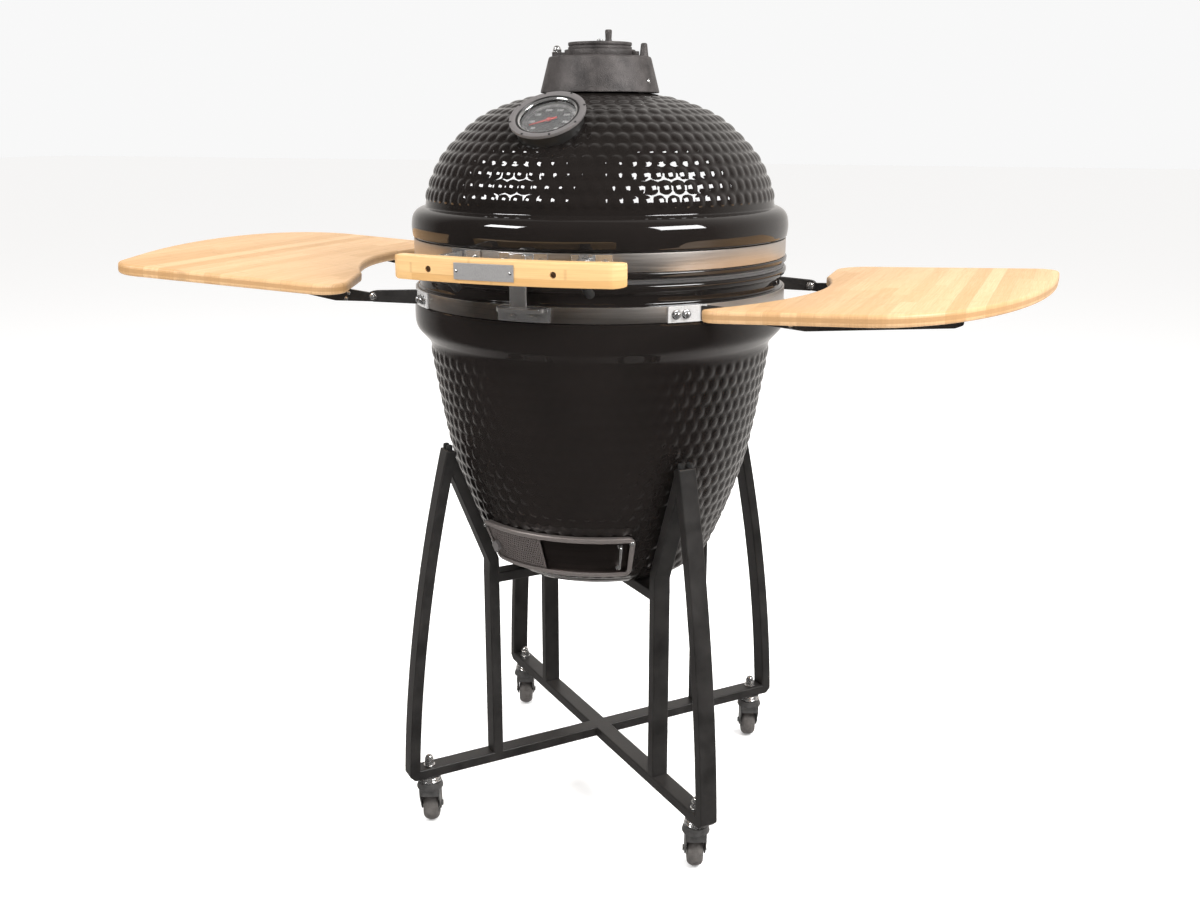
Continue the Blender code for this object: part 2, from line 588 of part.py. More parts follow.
def draft_sheet(offset, thickness, z0, z1, a0, a1, steps=8):
    """A sheet that follows the bowl's taper, this far off its surface."""
    r0, r1 = (bowl_radius(z) + DRAFT_CLEAR for z in DRAFT_Z)
    slope = (r1 - r0) / (DRAFT_Z[1] - DRAFT_Z[0])
    low = r0 + slope * (z0 - DRAFT_Z[0]) + offset
    return wall_sector(low, low + thickness, z0, z1, a0, a1, steps, lean=slope * (z1 - z0))


def draft():
    z0, z1 = DRAFT_Z
    rail = 0.0075
    lip = 3.0
    body = draft_sheet(0.0010, 0.0098, z0, z1, -DRAFT_HALF, DRAFT_HALF, 16)
    window = draft_sheet(-0.02, 0.06, z0 + rail, z1 - rail, -DRAFT_HALF + lip, DRAFT_HALF - lip, 16)
    groove = draft_sheet(0.0020, 0.0074, z0 + 0.0025, z1 - 0.0025, -DRAFT_HALF + 1.2, DRAFT_HALF - 1.2, 16)
    studs = []
    edge = DRAFT_HALF - 1.5
    for a, z in ((-edge, z1 - 0.008), (-edge, z0 + 0.016), (edge, z1 - 0.008)):
        r = bowl_radius(z) + 0.0113
        studs.append(rod(on_wall(r - 0.002, a, z), on_wall(r + 0.004, a, z), 0.0030, 10))
    build("draft_frame", "brushed_steel", [body, *studs], [groove, window])

    # The screen slides in front of the door. The space between their tracks is wider than the curved door's sagitta.
    inset = 0.0032
    screen = draft_sheet(0.0072, 0.0014, z0 + inset, z1 - inset, -DRAFT_HALF + 1.8, DRAFT_SPLIT, 10)
    holes = []
    for row in range(3):
        for k in range(8):
            a = -DRAFT_HALF + 7.5 + 3.0 * k + (1.5 if row % 2 else 0)
            z = z0 + 0.0170 + row * 0.0155
            r = bowl_radius(z)
            holes.append(rod(on_wall(r - 0.006, a, z), on_wall(r + 0.016, a, z), 0.0030, 4))
    knob_z = z0 + 0.0270
    r = bowl_radius(knob_z)
    a = -DRAFT_HALF + 5.5
    knob = rod(on_wall(r + 0.0094, a, knob_z), on_wall(r + 0.0185, a, knob_z), 0.0062, 6)
    build("draft_screen", "dark_steel", [screen, knob], holes)

    door = draft_sheet(0.0026, 0.0014, z0 + inset, z1 - inset, DRAFT_SPLIT - 2.5, DRAFT_HALF - 1.8, 12)
    a = DRAFT_HALF - 6.0
    low, high = z0 + 0.0140, z1 - 0.0140
    points = [on_wall(bowl_radius(z) + out, a, z) for z, out in
              ((low, 0.0048), (low, 0.0130), (low + 0.003, 0.0155), (high - 0.003, 0.0155), (high, 0.0130),
               (high, 0.0048))]
    build("draft_door", "dark_steel", [door, bent_rod(points, 0.0020, 8)])


# Side shelves

def board_outline():
    """The right-hand board in plan: straight front, a sweep out to the rear corner, straight back."""
    w, start, corner, rear = SHELF_HALF, 0.4240, 0.0350, 0.1640
    sweep = [(start + (SHELF_OUT - start) * sin(t), -w + (rear + w) * (1 - cos(t)))
             for t in (pi / 2 * k / 12 for k in range(13))]
    back = arc((SHELF_OUT - corner, w - corner), corner, 0, 90, 5)
    inner_x = 0.3040
    heel = arc((inner_x + 0.0450, w - 0.0450), 0.0450, 90, 180, 5)
    reach = degrees(atan2(0.1200, inner_x))
    tip = degrees(atan2(-(w - 0.020), 0.2294))
    bay = arc((0, 0), SHELF_BAY, reach, tip, 12)
    toe = arc((0.2490, -w + 0.0220), 0.0220, 200, 270, 4)
    return [*sweep, *back, *heel, *bay[:-1], *toe]


def shelf(name, side, spin):
    pivot = Vector((PIVOT_X, 0, PIVOT_Z))
    tilt = Matrix.Rotation(-radians(SHELF_TILT[name]), 4, "Y")
    place = spin @ Matrix.Translation(pivot) @ tilt @ Matrix.Translation(-pivot)
    at = spin @ pivot
    outline = board_outline()
    if name == "left":
        # Set further out than the right one and turned a little.
        outline = [(PIVOT_X + 0.0640 + (x - PIVOT_X) * cos(LEFT_TURN) - y * sin(LEFT_TURN),
                    -0.0160 + (x - PIVOT_X) * sin(LEFT_TURN) + y * cos(LEFT_TURN)) for x, y in outline]
    edge = 0.0035
    shrink = inset_outline(outline, edge)
    low, high = SHELF_TOP - SHELF_T, SHELF_TOP
    board = loft([[(x, y, z) for x, y in line] for line, z in
                  ((shrink, low), (outline, low + edge), (outline, high - edge), (shrink, high))])
    build(f"shelf_board_{name}", "bamboo", [moved(board, place)], at=at)

    for end, y in (("front", -ARM_Y * side), ("rear", ARM_Y * side)):
        top = low - GAP
        outline = [(PIVOT_X, PIVOT_Z - 0.0078), (0.3400, 0.7760), (0.5200, 0.7850), (0.5300, 0.7890),
                   (0.5300, top), (0.2838, top),
                   *arc((PIVOT_X, PIVOT_Z), 0.0078, 60, 260, 7)]
        bar = prism(outline, y - ARM_T / 2, y + ARM_T / 2, "Y")
        tabs = [block((x - 0.014, x + 0.014), (y - ARM_T / 2 + 0.001, y + 0.0160), (top - 0.0025, top))
                for x in (0.4100, 0.4950)]
        bore = rod((PIVOT_X, y - 0.02, PIVOT_Z), (PIVOT_X, y + 0.02, PIVOT_Z), 0.0031 + GAP)
        build(f"shelf_arm_{name}_{end}", "black_coat", [moved(s, place) for s in (bar, *tabs)], [moved(bore, place)],
              at=at)
        build(f"shelf_mount_{name}_{end}", "chrome", *shelf_mount(y, spin))


def shelf_mount(y, spin):
    """A clevis bolted to the base's band, with the pivot bolt through it."""
    a = degrees(atan2(sqrt(BAND_R ** 2 - y ** 2), -y))
    foot = wall_sector(BAND_R + GAP, BAND_R + 0.0030, BASE_BAND[0], BASE_BAND[1], a - 4.0, a + 4.0, 6)
    shapes = [foot]
    for s in (-1, 1):
        low = y + s * 0.0042 - 0.0010
        cheek = [(0.1960, 0.7850), (PIVOT_X, PIVOT_Z - 0.0078), *arc((PIVOT_X, PIVOT_Z), 0.0078, -60, 60, 5),
                 (PIVOT_X, PIVOT_Z + 0.0078), (0.1960, 0.8040)]
        shapes.append(prism(cheek, low, low + 0.0020, "Y"))
    shapes.append(rod((PIVOT_X, y - 0.0085, PIVOT_Z), (PIVOT_X, y + 0.0085, PIVOT_Z), 0.0030))
    for s in (-1, 1):
        shapes.append(rod((PIVOT_X, y + s * 0.0050, PIVOT_Z), (PIVOT_X, y + s * 0.0095, PIVOT_Z), 0.0048, 6))
        bolt = a + s * 2.7
        shapes.append(nut(on_wall(BAND_R + 0.0025, bolt, 0.7945), on_wall(1, bolt), 0.0080, 0.0050, 0.0030))
    return [moved(s, spin) for s in shapes], [moved(band_skin(), spin)]


def inset_outline(points, distance):
    """The outline moved inwards, for a closed anticlockwise line."""
    result = []
    count = len(points)
    for i, p in enumerate(points):
        a, b = Vector(points[i - 1]), Vector(points[(i + 1) % count])
        along = (b - a).normalized()
        result.append((p[0] - along.y * distance, p[1] + along.x * distance))
    return result


# Cart

def leg_plan():
    outer = bezier((LEG_FOOT_R, BEAM_Z + 0.008), (0.3180, 0.2400), (0.2945, 0.4050), LEG_TOP, 8)
    inner = inward(outer, TUBE_T)
    return [(LEG_FOOT_R - 0.008, BEAM_Z), *outer, *inner[::-1], (inner[0][0], BEAM_Z)]


def strut_plan():
    foot, notch = (POST_R + TUBE_T / 2 - 0.0007, 0.4051), (0.2385, 0.5316)
    along = (Vector(notch) - Vector(foot)).normalized()
    side = Vector((-along.y, along.x)) * TUBE_T
    outer_top, inner_top = Vector(notch) + along * 0.020, Vector(notch) + side + along * 0.044
    inner_foot = Vector(foot) + side
    return [foot, tuple(outer_top), tuple(inner_top), tuple(inner_foot),
            (POST_R - TUBE_T / 2, 0.4000), (POST_R - TUBE_T / 2, 0.3800), (POST_R + TUBE_T / 2, 0.3800)]


def quarter(angle):
    """The tubes of one leg's plane, turned to this azimuth."""
    post = (POST_R - TUBE_T / 2, POST_R + TUBE_T / 2)
    plans = [leg_plan(), strut_plan(),
             [(post[0], BEAM_Z + 0.002), (post[1], BEAM_Z + 0.002), (post[1], 0.3900), (post[0], 0.3900)],
             [(-0.02, BEAM_Z), (LEG_FOOT_R - 0.012, BEAM_Z), (LEG_FOOT_R - 0.012, BEAM_Z + TUBE_T),
              (-0.02, BEAM_Z + TUBE_T)],
             [(-0.02, SEAT_Z - TUBE_T), (post[1] - 0.002, SEAT_Z - TUBE_T), (post[1] - 0.002, SEAT_Z), (-0.02, SEAT_Z)]]
    shapes = []
    for i, plan in enumerate(plans):
        half = TUBE_W / 2 - (0.0002 * (i % 3))
        shapes.append(azimuth(prism([(-r, z) for r, z in plan], -half, half, "X"), angle))
    return shapes


def cart():
    for name, side in (("cart_frame_left", -1), ("cart_frame_right", 1)):
        shapes = quarter(side * 45) + quarter(side * 135)
        far = block(sorted((-side * 0.5, side * GAP / 2)), (-0.5, 0.5), (0, 0.7))
        holes = [azimuth(rod((0, -STEM_R, 0.05), (0, -STEM_R, 0.12), 0.0050 + GAP, 16), side * a) for a in (45, 135)]
        pads = [azimuth(rod((x, -0.2440, 0.5810), (x, -0.2440, 0.5900), 0.0045, 10), side * a)
                for a in (45, 135) for x in (-0.0065, 0.0065)]
        build(name, "black_coat", [azimuth(s, CART_YAW) for s in shapes + pads],
              [azimuth(s, CART_YAW) for s in (far, *holes)])


def casters():
    for name, angle in (("front_left", -45), ("front_right", 45), ("rear_left", -135), ("rear_right", 135)):
        stem = on_wall(STEM_R, angle + CART_YAW)
        axle = stem + on_wall(TRAIL, ROLL_AZ) + Vector((0, 0, TYRE_R))
        top = BEAM_Z + TUBE_T
        shaft = moved(rod((0, 0, 0.0600), (0, 0, top + 0.012), 0.0050, 10), to=stem)
        flange = moved(turned([(0, 0.0720), (0.0170, 0.0720), (0.0150, BEAM_Z - GAP), (0, BEAM_Z - GAP)], 14), to=stem)
        acorn = nut(stem + Vector((0, 0, top + GAP)), (0, 0, 1), 0.0130, 0.0134, 0.0065)
        keeper = moved(turned([(0, 0.0575), (0.0100, 0.0575), (0.0100, 0.0610), (0, 0.0610)], 10), to=stem)
        build(f"caster_stem_{name}", "chrome", [shaft, flange, acorn, keeper], at=stem)
        build(f"caster_fork_{name}", "grey_alloy", *fork(stem), at=stem)
        build(f"caster_wheel_{name}", "rubber", *wheel(axle), at=axle)


def to_roll(shape):
    """Turned from trailing to +Y to trailing as parked."""
    return azimuth(shape, ROLL_AZ - 180)


def fork(stem):
    r, half = TYRE_R, TYRE_W / 2
    crown = turned([(0.0048, 0.0615), (0.0200, 0.0615), (0.0205, 0.0640), (0.0170, 0.0716), (0.0048, 0.0716)], 16)
    shapes = [crown, block((-half - 0.0035, half + 0.0035), (-0.0160, 0.0180), (0.0615, 0.0640))]
    for s in (-1, 1):
        x = s * (half + 0.0025)
        cheek = [(-0.0160, 0.0640), (-0.0140, 0.0500), (TRAIL - 0.0080, r - 0.0060), (TRAIL + 0.0080, r - 0.0060),
                 (0.0200, 0.0450), (0.0180, 0.0640)]
        shapes.append(prism(cheek, x - 0.0010, x + 0.0010, "X"))
    pin = rod((-half - 0.0060, TRAIL, r), (half + 0.0060, TRAIL, r), 0.0030, 8)
    shapes.append(pin)
    bore = rod((0, 0, 0.055), (0, 0, 0.080), 0.0050 + GAP)
    return [moved(to_roll(s), to=stem) for s in shapes], [moved(bore, to=stem)]


def wheel(axle):
    r, half = TYRE_R, TYRE_W / 2
    profile = [(0.0033, -half), (r - 0.004, -half), (r - 0.0007, -half * 0.55), (r, 0), (r - 0.0007, half * 0.55),
               (r - 0.004, half), (0.0033, half)]
    shape = moved(turned(profile, 20), axis_turn((1, 0, 0)))
    return [moved(to_roll(shape), to=axle)], []


def main():
    base_shell()
    lid_shell()
    firebox()
    fire_ring()
    charcoal_grate()
    cooking_grid()
    gaskets()
    bands()
    hinge()
    handle()
    closure()
    gauge()
    top_vent()
    draft()
    shelf("right", 1, Matrix.Identity(4))
    shelf("left", -1, Matrix.Rotation(pi, 4, "Z"))
    cart()
    casters()


main()
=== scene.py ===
"""The looks of the kamado grill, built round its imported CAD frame.

Metres, +Z up, the front is -Y. Profiles are (radius, height) and azimuths are degrees from
the front towards +X. Every piece is made where the CAD has it and rides on its CAD body.
"""

from math import atan2, ceil, cos, degrees, hypot, pi, radians, sin, sqrt

import bmesh
import bpy
import numpy as np
from mathutils import Matrix, Vector


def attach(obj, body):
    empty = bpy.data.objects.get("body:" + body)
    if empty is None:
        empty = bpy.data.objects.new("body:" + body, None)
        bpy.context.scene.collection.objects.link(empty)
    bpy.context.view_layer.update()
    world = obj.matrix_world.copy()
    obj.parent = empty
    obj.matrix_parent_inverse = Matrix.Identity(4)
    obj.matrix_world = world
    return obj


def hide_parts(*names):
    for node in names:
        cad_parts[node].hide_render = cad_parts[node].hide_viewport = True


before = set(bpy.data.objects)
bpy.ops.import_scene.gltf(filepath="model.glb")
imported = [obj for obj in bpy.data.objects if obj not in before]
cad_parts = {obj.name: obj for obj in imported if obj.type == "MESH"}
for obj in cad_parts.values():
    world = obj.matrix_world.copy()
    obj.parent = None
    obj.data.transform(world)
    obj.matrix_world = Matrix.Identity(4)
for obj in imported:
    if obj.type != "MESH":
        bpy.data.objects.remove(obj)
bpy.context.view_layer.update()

# Driving dimensions, as in the CAD.
GAP = 0.0003
BAND_R = 0.2665
BASE_BAND, LID_BAND = (0.7840, 0.8050), (0.8488, 0.8726)
HINGE_Y, HINGE_Z = 0.3135, 0.8365
FLUE_R = 0.055
DOME_TOP = 1.068
BUMP_R, BUMP_H, BUMP_PITCH = 0.0086, 0.0021, 0.0186


# Materials

class Look:
    """A Principled material with short-hand for the nodes that drive it."""

    def __init__(self, name, color, rough, metallic=0.0, ior=1.5, **plain):
        self.material = bpy.data.materials.new(name)
        self.material.use_nodes = True
        self.tree = self.material.node_tree
        self.shader = self.tree.nodes["Principled BSDF"]
        self.set("Base Color", (*color, 1))
        self.set("Roughness", rough)
        self.set("Metallic", metallic)
        self.set("IOR", ior)
        for key, value in plain.items():
            self.set(key.replace("_", " ").title().replace("Ior", "IOR"), value)

    def set(self, socket, value):
        self.put(self.shader.inputs[socket], value)

    def put(self, socket, value):
        if isinstance(value, bpy.types.NodeSocket):
            self.tree.links.new(value, socket)
        else:
            socket.default_value = value

    def node(self, kind, out=0, inputs=None, **fields):
        made = self.tree.nodes.new(kind)
        for key, value in fields.items():
            setattr(made, key, value)
        for key, value in (inputs or {}).items():
            self.put(made.inputs[key], value)
        return made.outputs[out]

    def place(self, stretch=(1, 1, 1), turn=(0, 0, 0)):
        at = self.node("ShaderNodeTexCoord", out="Object")
        return self.node("ShaderNodeMapping", inputs={"Vector": at, "Scale": stretch, "Rotation": turn})

    def noise(self, scale, stretch=(1, 1, 1), detail=3.0, rough=0.5, turn=(0, 0, 0), at=None):
        at = at or self.place(stretch, turn)
        return self.node("ShaderNodeTexNoise", inputs={"Vector": at, "Scale": scale, "Detail": detail,
                                                       "Roughness": rough})

    def cells(self, scale, stretch=(1, 1, 1), feature="F1", out="Distance", at=None):
        at = at or self.place(stretch)
        return self.node("ShaderNodeTexVoronoi", out=out, feature=feature,
                         inputs={"Vector": at, "Scale": scale})

    def math(self, operation, a, b=0.0, c=0.0):
        return self.node("ShaderNodeMath", operation=operation, inputs={0: a, 1: b, 2: c})

    def between(self, value, low, high, to_low=0.0, to_high=1.0):
        return self.node("ShaderNodeMapRange", inputs={"Value": value, "From Min": low, "From Max": high,
                                                       "To Min": to_low, "To Max": to_high})

    def mix(self, share, a, b, blend="MIX"):
        made = self.tree.nodes.new("ShaderNodeMix")
        made.data_type, made.blend_type = "RGBA", blend
        for socket, value in ((made.inputs[0], share), (made.inputs[6], a), (made.inputs[7], b)):
            self.put(socket, value if not isinstance(value, tuple) else (*value, 1)[:4])
        return made.outputs[2]

    def bump(self, height, strength, distance=0.001, onto=None):
        inputs = {"Height": height, "Strength": strength, "Distance": distance}
        if onto:
            inputs["Normal"] = onto
        out = self.node("ShaderNodeBump", inputs=inputs)
        self.set("Normal", out)
        return out


def glaze():
    look = Look("glaze", (0.010, 0.0085, 0.008), 0.06, ior=1.56)
    cloud = look.noise(9.0, detail=4)
    look.set("Base Color", look.mix(cloud, (0.0075, 0.0065, 0.006), (0.014, 0.0115, 0.0105)))
    specks = look.between(look.noise(420.0, detail=2), 0.62, 0.80)
    dust = look.between(look.noise(30.0, detail=5, rough=0.65), 0.45, 0.75, 0.045, 0.11)
    look.set("Roughness", look.math("ADD", dust, look.math("MULTIPLY", specks, 0.05)))
    wave = look.noise(70.0, detail=1)
    look.bump(wave, 0.05, 0.0008)
    return look.material


def clay():
    look = Look("fired_clay", (0.52, 0.40, 0.28), 0.9)
    grain = look.noise(260.0, detail=6, rough=0.7)
    smoke = look.between(look.noise(11.0, detail=5), 0.35, 0.7)
    warm = look.mix(grain, (0.40, 0.29, 0.19), (0.62, 0.50, 0.37))
    look.set("Base Color", look.mix(look.math("MULTIPLY", smoke, 0.55), warm, (0.16, 0.12, 0.09)))
    look.bump(grain, 0.35, 0.0012)
    return look.material


def felt():
    look = Look("felt", (0.035, 0.034, 0.033), 0.95, sheen_weight=0.3)
    fibre = look.noise(900.0, stretch=(1, 1, 0.35), detail=5, rough=0.8)
    look.set("Base Color", look.mix(fibre, (0.02, 0.02, 0.02), (0.085, 0.08, 0.078)))
    look.bump(fibre, 0.8, 0.0012)
    return look.material


def brushed(name, dark, light, rough, lines=(9, 9, 2400)):
    """Stainless steel brushed along the direction with the smallest number in lines."""
    look = Look(name, light, rough, metallic=1.0)
    streak = look.noise(1.0, stretch=lines, detail=3, rough=0.7)
    cloud = look.noise(16.0, detail=3)
    tone = look.math("ADD", look.math("MULTIPLY", streak, 0.7), look.math("MULTIPLY", cloud, 0.3))
    look.set("Base Color", look.mix(look.between(tone, 0.3, 0.7), dark, light))
    look.set("Roughness", look.between(streak, 0.3, 0.75, rough * 0.75, rough * 1.35))
    look.bump(streak, 0.10, 0.0003)
    return look.material


def chrome(name="chrome", color=(0.74, 0.73, 0.72), rough=0.12):
    # Metallic 0.9 lets the pale base colour show as a diffuse grey under the lamps. This is painted
    # reflection, standing in for the bright surroundings that real chrome and zinc plate would mirror.
    look = Look(name, color, rough, metallic=0.90)
    smear = look.noise(60.0, detail=4, rough=0.6)
    look.set("Base Color", look.mix(smear, tuple(0.86 * c for c in color), color))
    look.set("Roughness", look.between(smear, 0.3, 0.75, rough * 0.6, rough * 1.8))
    look.bump(look.noise(240.0, detail=2), 0.05, 0.0004)
    return look.material


def cast_iron(name="cast_iron", dark=(0.030, 0.026, 0.025), light=(0.085, 0.075, 0.072), rough=0.5):
    look = Look(name, light, rough, metallic=0.35)
    grain = look.noise(950.0, detail=4, rough=0.7)
    patch = look.noise(45.0, detail=4)
    look.set("Base Color", look.mix(look.between(patch, 0.3, 0.7), dark, light))
    look.set("Roughness", look.between(grain, 0.3, 0.7, rough * 0.8, rough * 1.25))
    pits = look.cells(520.0)
    look.bump(look.math("ADD", grain, look.math("MULTIPLY", pits, 0.8)), 0.55, 0.0007)
    return look.material


def powder_coat():
    look = Look("black_coat", (0.016, 0.0145, 0.0135), 0.40, ior=1.5)
    peel = look.noise(1100.0, detail=2)
    dust = look.noise(22.0, detail=5, rough=0.7)
    look.set("Base Color", look.mix(look.between(dust, 0.3, 0.75), (0.011, 0.010, 0.0095),
                                    (0.026, 0.0235, 0.022)))
    look.set("Roughness", look.between(dust, 0.3, 0.7, 0.33, 0.48))
    look.bump(peel, 0.25, 0.0004)
    return look.material


def rubber(name="rubber", dark=(0.055, 0.049, 0.045), light=(0.115, 0.104, 0.097), rough=0.62):
    look = Look(name, light, rough)
    dust = look.noise(120.0, detail=6, rough=0.7)
    look.set("Base Color", look.mix(look.between(dust, 0.3, 0.7), dark, light))
    look.set("Roughness", look.between(dust, 0.3, 0.7, rough * 0.85, min(1.0, rough * 1.2)))
    look.bump(look.noise(1500.0, detail=3), 0.25, 0.0004)
    return look.material


def plain_paint(name, color, rough, speck=0.12, metallic=0.0):
    look = Look(name, color, rough, metallic=metallic)
    mottle = look.noise(700.0, detail=3)
    look.set("Base Color", look.mix(look.between(mottle, 0.3, 0.7), tuple(c * (1 - speck) for c in color),
                                    tuple(min(1.0, c * (1 + speck)) for c in color)))
    look.set("Roughness", look.between(mottle, 0.3, 0.7, rough * 0.9, rough * 1.1))
    look.bump(mottle, 0.08, 0.0003)
    return look.material


def bamboo(name, along, light, deep, ply, edge=1.0):
    """Laminated bamboo: strips along one axis with knuckles, and a middle ply that shows at the edges.

    ply is (height of the middle ply's underside, of its top) in the piece's own frame.
    """
    look = Look(name, light, 0.42, ior=1.45)
    x, y, z = (look.node("ShaderNodeSeparateXYZ", out=i, inputs={0: look.place()}) for i in range(3))
    run, across = (y, x) if along == "Y" else (x, y if along == "X" else z)
    if along == "XZ":
        run, across = x, z
    width = 0.0205 if along == "Y" else 0.0125
    lane = look.math("FLOOR", look.math("DIVIDE", across, width))
    lane_tone = look.node("ShaderNodeTexWhiteNoise", noise_dimensions="1D", inputs={"W": lane})
    # Each strip is made of staves laid end to end, so its tone changes along it too.
    stave = look.math("FLOOR", look.math("ADD", look.math("DIVIDE", run, 0.43),
                                         look.math("MULTIPLY", lane_tone, 3.7)))
    tone = look.node("ShaderNodeTexWhiteNoise", noise_dimensions="2D",
                     inputs={"Vector": look.node("ShaderNodeCombineXYZ", inputs={0: lane, 1: stave})})
    at = look.node("ShaderNodeCombineXYZ", inputs={0: look.math("MULTIPLY", across, 1.0),
                                                   1: look.math("MULTIPLY", run, 0.02), 2: tone})
    fibre = look.node("ShaderNodeTexNoise", inputs={"Vector": at, "Scale": 900.0, "Detail": 4.0,
                                                    "Roughness": 0.7})
    broad = look.node("ShaderNodeTexNoise", inputs={"Vector": at, "Scale": 120.0, "Detail": 3.0})
    share = look.math("ADD", look.math("MULTIPLY", tone, 0.55), look.math("MULTIPLY", broad, 0.55))
    color = look.mix(look.between(share, 0.25, 0.95), light, deep)
    color = look.mix(look.between(fibre, 0.40, 0.75, 0.0, 0.38), color, tuple(c * 0.62 for c in deep))
    # Knuckles: a short dark line across a stave, once in about 200 mm.
    phase = look.math("FRACT", look.math("ADD", look.math("DIVIDE", run, 0.21),
                                         look.math("MULTIPLY", lane_tone, 7.3)))
    knuckle = look.between(look.math("ABSOLUTE", look.math("SUBTRACT", phase, 0.5)), 0.004, 0.012, 0.30, 0.0)
    color = look.mix(knuckle, color, tuple(c * 0.55 for c in deep))
    seam = look.math("FRACT", look.math("DIVIDE", across, width))
    seam = look.math("MINIMUM", seam, look.math("SUBTRACT", 1.0, seam))
    color = look.mix(look.between(seam, 0.0, 0.028, 0.28, 0.0), color, tuple(c * 0.5 for c in deep))
    if ply:
        cross = look.noise(1.0, stretch=(260, 260, 700), detail=4, rough=0.7)
        core = look.mix(cross, tuple(c * edge for c in deep), tuple(c * 0.60 * edge for c in deep))
        inside = look.math("MULTIPLY", look.between(z, ply[0] - 0.0001, ply[0] + 0.0001),
                           look.between(z, ply[1] - 0.0001, ply[1] + 0.0001, 1.0, 0.0))
        color = look.mix(look.math("MULTIPLY", inside, 0.75), color, core)
    look.set("Base Color", color)
    look.set("Roughness", look.between(fibre, 0.3, 0.8, 0.36, 0.52))
    look.bump(fibre, 0.10, 0.0004)
    return look.material


def glass():
    look = Look("glass", (1, 1, 1), 0.02, ior=1.45, transmission_weight=1.0)
    look.set("Roughness", look.between(look.noise(25.0, detail=4), 0.4, 0.8, 0.01, 0.05))
    return look.material


M = {
    "glaze": glaze(), "clay": clay(), "felt": felt(),
    "band": brushed("brushed_steel", (0.50, 0.46, 0.43), (0.70, 0.66, 0.62), 0.36),
    "dark_steel": brushed("dark_steel", (0.20, 0.17, 0.165), (0.30, 0.262, 0.25), 0.34),
    "plate": plain_paint("plate_steel", (0.36, 0.35, 0.345), 0.38, 0.10, metallic=0.45),
    # Both use chrome(), whose metallic below one gives a pale diffuse grey that is painted reflection.
    "chrome": chrome(), "zinc": chrome("zinc_plate", (0.60, 0.60, 0.60), 0.22),
    "iron": cast_iron(), "grate": cast_iron("grate_iron", (0.035, 0.032, 0.03), (0.075, 0.07, 0.066), 0.6),
    "coat": powder_coat(), "rubber": rubber(),
    "black_rubber": rubber("black_rubber", (0.010, 0.010, 0.010), (0.022, 0.021, 0.020), 0.5),
    "skirt": rubber("caster_skirt", (0.030, 0.029, 0.028), (0.065, 0.062, 0.060), 0.38),
    "alloy": plain_paint("grey_alloy", (0.17, 0.158, 0.156), 0.45, metallic=0.4),
    "dial": plain_paint("dial_black", (0.014, 0.014, 0.014), 0.55),
    "print": plain_paint("dial_print", (0.62, 0.61, 0.59), 0.6, 0.05),
    "needle": plain_paint("needle_red", (0.60, 0.035, 0.02), 0.45, 0.08),
    "dark": plain_paint("blackened_screw", (0.020, 0.019, 0.018), 0.4, metallic=0.3),
    "plug": plain_paint("plug_brown", (0.10, 0.055, 0.022), 0.5),
    "handle_wood": bamboo("handle_bamboo", "XZ", (0.68, 0.44, 0.205), (0.52, 0.29, 0.10), None),
    "board": bamboo("shelf_bamboo", "Y", (0.58, 0.37, 0.195), (0.44, 0.25, 0.105), (0.8010, 0.8065)),
    "mesh_steel": plain_paint("mesh_steel", (0.115, 0.098, 0.092), 0.42, metallic=0.35),
    "rim_steel": plain_paint("rim_steel", (0.21, 0.185, 0.175), 0.34, metallic=0.5),
    # Pale colour at low metallic on the clevis plates is painted reflection, standing in for the bright
    # surroundings that plated steel would mirror.
    "plate_painted_reflection": plain_paint("plate_painted_reflection", (0.62, 0.61, 0.60), 0.30, 0.08, metallic=0.35),
    "band_print": plain_paint("dial_arc", (0.20, 0.195, 0.19), 0.55, 0.05),
    "glass": glass(),
}


# Shapes

def on_wall(r, angle, z=0.0):
    return Vector((r * sin(radians(angle)), -r * cos(radians(angle)), z))


def azimuth(angle):
    return Matrix.Rotation(radians(angle), 4, "Z")


def facing(axis):
    return Vector((0, 0, 1)).rotation_difference(Vector(axis).normalized()).to_matrix().to_4x4()


def moved(shape, turn=None, to=(0, 0, 0)):
    bmesh.ops.transform(shape, matrix=Matrix.Translation(to) @ (turn or Matrix.Identity(4)),
                        verts=shape.verts)
    return shape


def arc(middle, radius, start, end, steps):
    return [(middle[0] + radius * cos(radians(start + (end - start) * k / steps)),
             middle[1] + radius * sin(radians(start + (end - start) * k / steps))) for k in range(steps + 1)]


def rounded(points, radius, steps=3, closed=True, keep=()):
    """The outline with its corners filleted."""
    result, count = [], len(points)
    for i, p in enumerate(points):
        if i in keep or (not closed and i in (0, count - 1)):
            result.append(tuple(p))
            continue
        p, a, b = Vector(p), Vector(points[i - 1]), Vector(points[(i + 1) % count])
        reach = min(radius, 0.45 * (a - p).length, 0.45 * (b - p).length)
        start, end = p + (a - p).normalized() * reach, p + (b - p).normalized() * reach
        for k in range(steps + 1):
            t = k / steps
            result.append(tuple((1 - t) ** 2 * start + 2 * t * (1 - t) * p + t * t * end))
    return result


def curve(points, steps=5):
    """A smooth line through the points, with this many steps between each two."""
    ends = [2 * Vector(points[0]) - Vector(points[1]), *map(Vector, points),
            2 * Vector(points[-1]) - Vector(points[-2])]
    line = []
    for a, b, c, d in zip(ends, ends[1:], ends[2:], ends[3:]):
        for k in range(steps):
            t = k / steps
            line.append(tuple(0.5 * (2 * b + (c - a) * t + (2 * a - 5 * b + 4 * c - d) * t * t
                                     + (3 * b - a - 3 * c + d) * t ** 3)))
    return line + [tuple(ends[-2])]


def loft(rings, loop=False, caps=True):
    shape = bmesh.new()
    rows = [[shape.verts.new(p) for p in ring] for ring in rings]
    count = len(rows[0])
    for low, high in zip(rows, rows[1:] + ([rows[0]] if loop else [])):
        for i in range(count):
            j = (i + 1) % count
            shape.faces.new((low[i], low[j], high[j], high[i]))
    if caps and not loop:
        shape.faces.new(rows[0][::-1])
        shape.faces.new(rows[-1])
    return shape


